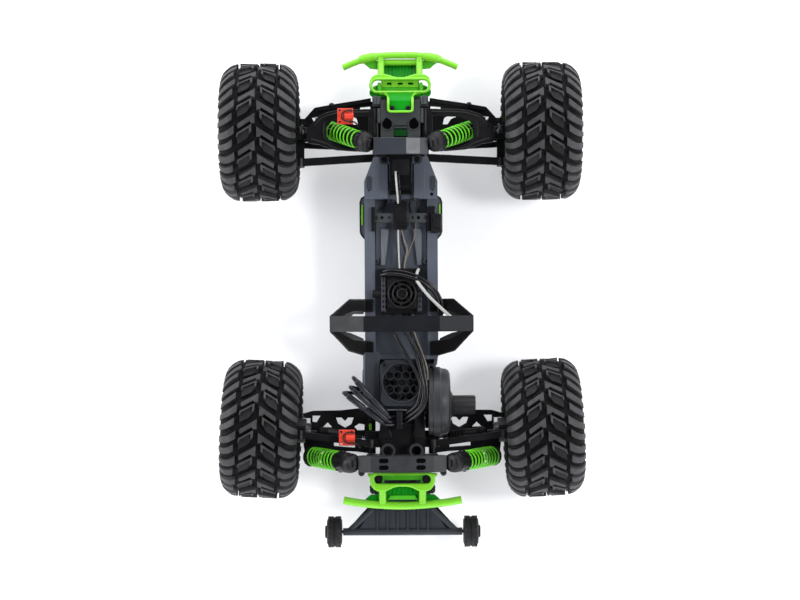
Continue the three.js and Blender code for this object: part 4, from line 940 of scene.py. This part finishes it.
beam = slab(whole([(25, 74.6), (25, 83.4)]), 88.5, 91.4, edge=0.5,
            holes=[(-18.2, 79.2, 1.7), (16.6, 79.2, 1.7), (-11.4, 79.2, 1.2), (11, 79.2, 1.2)])
piece("radio_beam", [beam], GREY, replaces=["radio_tray"])
radio = [block(-28.6, -24.6, 66, 89.4, 88.5, 93, 0.8), block(24.8, 28.4, 66, 89.4, 88.5, 93, 0.8),
         block(-7.2, 7.2, 71, 92, 84, 96.4, 1.2), block(-5.6, 5.6, 67.4, 95, 84, 94, 1),
         block(-5.4, 5.4, 74, 89, 96, 97.8, 0.6), block(28.6, 39, 64, 82.6, 88.5, 97.6, 1.2),
         block(30.4, 36.6, 69, 79, 97, 99, 0.6), block(27, 33, 82, 90, 88.5, 94, 0.9)]
radio += both(*(block(4.2, 6.6, y - 1.2, y + 1.2, 90, 95.6) for y in (69.6, 93.2)))
piece("radio_case", radio, BLACK)

nose_panel = slab([(12.4, 97.6), (23, 97.6), (23, 126), (18.6, 130.6), (12.4, 130.6)], 91.2, 92.5)
piece("nose_panels", both(nose_panel), TUB)
# sloped ramps in the tub floor, in the lighter tub nylon as painted light
ramp = loft([[(-20.2, y, low), (-20.2, y, top), (-19.2, y, top + 0.6), (inner, y, top - 0.2),
              (inner, y, low)]
             for y, low, top, inner in ((68.6, 80, 81.4, -11.8), (34, 78, 79.2, -15.6))])
piece("tub_ramps", both(ramp), TUB_PAINTED_LIGHT, sharp=20)
servo_trim = [*both(block(7.4, 11.8, 106, 113, 88.4, 92, 0.6)),
              block(-8.4, 8.4, 106.8, 109.4, 107, 111, 0.8), block(-8, 8, 119, 134, 110.6, 111.4)]
piece("servo_trim", servo_trim, BLACK)

fan_wall = slab([(-20.9, -50), (-36.2, -50), (-36.4, -84), (-35.4, -94), (-31.6, -104),
                 (-28.6, -112), (-20.9, -112)], 92.6, 95.6, edge=0.9)
fan_wall_edge = sweep([(-36, -52, 95), (-36.2, -84, 95), (-35.2, -94, 95), (-31.2, -104, 95),
                       (-28.4, -111, 95)], 1.1, 8, 4)
piece("motor_guard", [fan_wall], TUB_DARK)
piece("motor_guard_edge", [fan_wall_edge], TUB)

WEB = {"start": 36, "height": 88.8, "slope": 0.385, "thick": 2.8}
LEG_SHADE = {"start": 35, "height": 91.6, "slope": 0.353, "thick": 0.5}
webs = [sloped([(64, -14.8), (46, -11.4), (36.4, -11.4), (36.4, -13.4), (46, -13.4),
                (48.6, -15.6), (64, -17.4)], **WEB),
        sloped([(64, -27.6), (48.4, -31.6), (42, -34.4), (36.6, -37), (36.4, -39.6), (46, -37.4),
                (64, -30)], **WEB)]
# painted shade: thin plates of the darker hoop nylon laid on the sloped hoop legs
leg_shades = [sloped([(65, -14), (49.4, 0), (35.2, -0.2), (35.2, -10.4), (46, -10.4), (60, -16)], **LEG_SHADE),
        sloped([(65, -29), (65, -31.4), (50.2, -47.6), (35.2, -52), (35.2, -39.8), (46, -38),
                (60, -30)], **LEG_SHADE),
        block(28, 35, -10.4, -0.2, 91.5, 92.1, 0.2), block(28, 35, -52, -40.4, 91.5, 92.1, 0.2)]
piece("roll_hoop_leg_shades", both(*leg_shades), HOOP_SHADE, sharp=20)
piece("roll_hoop_webs", both(*webs), CARBON)

gusset = slab([(29, -205), (34.6, -204.6), (53.4, -225.4), (53.4, -228), (42.6, -228),
               (40, -221.6), (34, -214.6), (30.6, -209)], 36.4, 38.8, edge=0.5)
piece("wheelie_gussets", both(gusset), BLACK)

# ---- grille, fan guard, heat sink

CELL = 7.7
GRILLE_R = 18.4
GRILLE_Z = 105.8


def inside_circle(p, q, radius):
    """Where a bar that starts at p, inside a circle about the origin, ends if it stays inside."""
    run = q - p
    along = p.dot(run)
    far = math.sqrt(along ** 2 + run.dot(run) * (radius ** 2 - p.dot(p))) - along
    return p + run * min(1, far / run.dot(run))


def honeycomb():
    """The bars of hexagonal cells inside the grille's circle, as pairs of ends, each bar once."""
    bars = {}
    for row in range(-4, 5):
        for column in range(-4, 5):
            centre = Vector((CELL * (column + row % 2 / 2), CELL * 0.866 * row, 0))
            corners = [centre + CELL / 1.732 * Vector((math.sin(angle), math.cos(angle), 0))
                       for angle in (k * math.pi / 3 for k in range(7))]
            for bar in zip(corners, corners[1:]):
                p, q = sorted(bar, key=lambda end: end.length)
                if p.length < GRILLE_R and q.length < GRILLE_R + 5:
                    key = tuple(round(c, 1) for c in (p + q) / 2)
                    bars.setdefault(key, (p, inside_circle(p, q, GRILLE_R)))
    return [(p, q) for p, q in bars.values() if (q - p).length >= 0.4]


fan_x, fan_y, _ = joint_place("motor_fan_spin")
grille_centre = Vector((fan_x, fan_y, GRILLE_Z))
grille = [sweep([p + grille_centre, q + grille_centre], 0.55, 6, 1, flat=1.8)
          for p, q in honeycomb()]
grille.append(turned([(-1.2, 18), (0.6, 18), (1, 18.5), (1, 19.4), (0.4, 19.9), (-1.2, 19.9)],
                     (fan_x, fan_y, 106.6), 56, closed=True))
shroud = slab(whole([(15.6, -57.2), (20.6, -62), (20.6, -96.4), (15.6, -101.2)]), 93, 106.6,
              edge=1, holes=[(fan_x, fan_y, 19.2)])
piece("motor_grille", [shroud, *grille], SHROUD, replaces=["motor_shroud"])

GUARD_Z = 101
fan_x, fan_y, _ = joint_place("esc_fan_spin")
fan_guard = [turned([(-0.8, r - 0.7), (0.6, r - 0.7), (0.9, r), (0.6, r + 0.7), (-0.8, r + 0.7)],
                    (fan_x, fan_y, GUARD_Z), 40, closed=True) for r in (4.6, 9, 13.2)]
for k in range(4):
    angle = math.radians(45 + 90 * k)
    inner, outer, corner = ((fan_x + r * math.cos(angle), fan_y + r * math.sin(angle), z)
                            for r, z in ((3.8, GUARD_Z), (13.4, GUARD_Z), (16.2, GUARD_Z - 0.4)))
    fan_guard += [sweep([inner, outer], 0.7, 6, 1), screw(*corner, 1.7, 1.2)]
piece("esc_fan_guard", fan_guard, BLACK, sharp=30)
fins = [block(x - 0.7, x + 0.7, -11, 22, 91, 98.2, 0.3) for x in (-18.6, -16.2, 16.4, 18.8)]
fins += [block(x, x + 4.4, y, y + 2.2, 91, 98.6, 0.3)
         for x in (-19.4, 15.2) for y in range(-10, 20, 5)]
piece("esc_heat_sink", fins, SINK)

# ---- leads

WIRES = {
    "servo_lead_white": (WHITE_LEAD, 0.95, [
        (-4.9, 122, 111), (-4.6, 117, 113.4), (-4, 108, 113.6), (-3.2, 100, 106), (-2.8, 93, 98.6)]),
    "servo_lead_black": (LEAD, 0.9, [
        (-2, 119, 110.6), (-1.6, 112, 112), (-0.8, 103, 108), (-0.2, 94, 98.8)]),
    "receiver_lead_white": (WHITE_LEAD, 0.8, [
        (-2.6, 70, 92), (-2.7, 62, 90), (-2.4, 48, 86.4), (-1.9, 34, 87), (-1.6, 27, 88)]),
    "receiver_lead_tan": (TAN_LEAD, 0.55, [
        (0.4, 70, 92), (2.2, 60, 89.6), (5.8, 49, 86.6), (4.2, 40, 86.4), (2.6, 27, 88)]),
    "receiver_lead_black": (LEAD, 0.9, [
        (1.8, 70, 91), (0.8, 58, 87), (3.6, 46, 84.6), (1.2, 36, 85.6), (0.8, 27, 87)]),
    "aerial_lead": (TAN_LEAD, 0.42, [
        (14, 80, 87), (14.2, 72, 86), (12.4, 59, 84), (7.2, 46, 83.6), (3.2, 34, 84.6),
        (2.4, 28, 86)]),
    "switch_lead_front": (LEAD, 0.9, [
        (-9, 96, 84), (-12, 100, 80), (-16.6, 90, 79), (-20, 86, 80)]),
    "switch_loop": (LEAD, 1, [
        (9.4, 84, 88), (8.6, 92, 90), (11.4, 96.8, 90.6), (15, 95.4, 89.6), (16.6, 89, 88),
        (16.8, 84.6, 86)]),
    "battery_lead_black": (LEAD, 1.75, [
        (-19, 24, 99), (-14, 25, 102.4), (-4, 24.6, 104.2), (6, 22.6, 104.8), (15, 19.2, 104.8),
        (26, 12.4, 103), (33, 3.4, 100), (36, -8, 97), (34, -20, 94), (29, -26, 89.6)]),
    "battery_lead_black_2": (LEAD, 1.75, [
        (-17, 27.6, 97), (-12, 28.2, 100.6), (-2, 27.4, 102.2), (8, 25.2, 102.8), (18, 21, 102.4),
        (28.6, 13.4, 101), (35, 5.4, 98.6), (38.6, -5, 96.6), (37.4, -18, 94), (31, -27, 89.6)]),
    "sensor_lead_white": (WHITE_LEAD, 1.5, [
        (16.4, 29, 93), (15.4, 27, 98), (14, 21, 103), (17, 15, 106), (26, 3.6, 107),
        (36, -6.4, 107), (44.6, -14.6, 107), (46, -20, 106), (40, -26, 102), (33, -28, 96),
        (29, -28, 89.6)]),
}

MOTOR_LEADS = [
    [(-8.6, -14, 93), (-8.2, -24, 99), (-7, -32, 103), (4.6, -53, 108.4), (14.8, -72, 110.2),
     (17.6, -85, 110.4), (15.2, -96.4, 109.6), (9.6, -104, 105), (0, -110.2, 98.6),
     (-8.4, -111.4, 101)],
    [(2.4, -14, 93), (2.8, -24, 99.4), (3.8, -32, 103.6), (13.4, -53, 109.4), (18.4, -72, 111),
     (20.8, -86, 111), (18.6, -98.8, 110.2), (11.4, -107.4, 105), (0, -114.6, 98.4),
     (-8, -116, 101.4)],
    [(7.2, -14, 93), (8, -24, 99), (9.4, -32, 103), (17.6, -53, 108.6), (21.6, -72, 110.2),
     (23.4, -86, 110.4), (21.6, -99.6, 109.6), (13.4, -110.6, 104), (0.6, -118.2, 97.6),
     (-9, -119.2, 101)],
]
CONNECTORS = [((-10.4, -113.6, 105), (-44, -76.4, 108)), ((-10.8, -117.8, 104.6), (-46.6, -85, 107)),
              ((-14, -120.4, 103), (-52.6, -90.4, 105))]
LEAD_R = 1.8

for name, (material, radius, points) in WIRES.items():
    piece(name, [sweep(points, radius, 12, 8)], material)
lead_shapes = [sweep(points, LEAD_R, 12, 8) for points in MOTOR_LEADS]
sleeves, bullets = [], []
for n, ((start, end), lead) in enumerate(zip(CONNECTORS, MOTOR_LEADS)):
    start, end = Vector(start), Vector(end)
    along = (end - start).normalized()
    run = (end - start).length
    into_sleeve = [Vector(lead[-2]), Vector(lead[-1]), start + along * 2.5, start + along * 8,
                   start + along * run * 0.5]
    tip = end + along * 2.4
    motor = Vector((-36.6, -84 - 3 * n, 86 - 4 * n))
    to_motor = [end - along * 2, tip, tip + along * 0.6 - Vector((0, 0, 9)),
                (tip + motor) / 2 - Vector((0, 0, 8)), motor]
    lead_shapes += [sweep(path, LEAD_R, 12, 8) for path in (into_sleeve, to_motor)]
    sleeve = lathe([(run * part, r) for part, r in (
        (0.1, 1.9), (0.13, 2.6), (0.5, 2.8), (0.53, 2.3), (0.57, 2.3), (0.6, 2.95), (0.93, 3),
        (0.98, 2.5), (0.99, 1.9))], 20)
    bullet = lathe([(run * 0.985, 2.1), (run + 1.6, 2.1), (run + 2.2, 1.9)], 16)
    sleeves.append(moved(sleeve, frame_at(start, along)))
    bullets.append(moved(bullet, frame_at(start, along)))
piece("motor_lead_set", lead_shapes, LEAD, replaces=["motor_leads"])
piece("motor_lead_sleeves", sleeves, SLEEVE, sharp=30)
piece("motor_lead_bullets", bullets, STEEL, sharp=30)
fan_lead = sweep([(11, -14, 92), (11.6, -26, 99), (12.6, -33, 102), (18.4, -48, 106.4),
                  (22, -58, 108), (24.4, -68, 108), (24.6, -76, 106)], 0.75, 8, 8)
piece("fan_lead", [fan_lead], TAN_LEAD)

# ---- side guards and tags

STRIP = {"right": (82.6, 92.6), "left": (73, 92.4)}
side_guard = slab([(34.9, 100.4), (38, 98.4), (39.6, 95), (39.6, 66), (38.4, 63.2), (34.9, 59.6)],
                  58, 72, edge=0.6)
guard_edge = sweep([(35.2, 100.6, 72), (38.2, 98.6, 72), (39.5, 95, 72), (39.5, 66, 72),
                    (38.2, 63, 72), (35.2, 59.4, 72)], 0.75, 8, 1)
for side, sign in SIDES:
    strip = block(36.9, 38.3, *STRIP[side], 71.6, 72.9, 0.3)
    piece(f"{side}_guard", on_side(sign, [side_guard]), TUB)
    piece(f"{side}_guard_edge", on_side(sign, [guard_edge]), BLACK)
    piece(f"{side}_guard_strip", on_side(sign, [strip]), GREEN)

CLIP_TAGS = {"front": (-52.6, 175, 109.4), "rear": (-53, -131, 104)}
tag_plate = slab([(-7.4, -7.6), (7.6, -7.6), (7.6, 7.6), (-7.4, 7.6)], 0, 2, edge=0.7,
                 holes=[(x, y, 1.1) for x in (-5, 5) for y in (-5.4, 5.4)])
tag_barrel = moved(lathe([(-1.5, 2.6), (-1, 3.2), (7, 3.2), (7.4, 2.6)], 18),
                   Matrix.Translation((0.6, 0, 1.2)))
clip_ring = sweep([(7.2, 4.6, 3.4), (1.6, 5.2, 3.6), (-2, 3.2, 3.6), (-3.2, 0, 3.6),
                   (-2, -3.2, 3.6), (1.6, -5, 3.6), (7.4, -5.2, 3.2), (11, -7.4, 1.6),
                   (13, -10, -2)], 0.75, 8, 6)
for end, place in CLIP_TAGS.items():
    to_tag = Matrix.Translation(place)
    piece(f"{end}_clip_tag", placed([tag_plate, tag_barrel], to_tag), TAG, sharp=30)
    piece(f"{end}_clip_ring", placed([clip_ring], to_tag), SCREW)
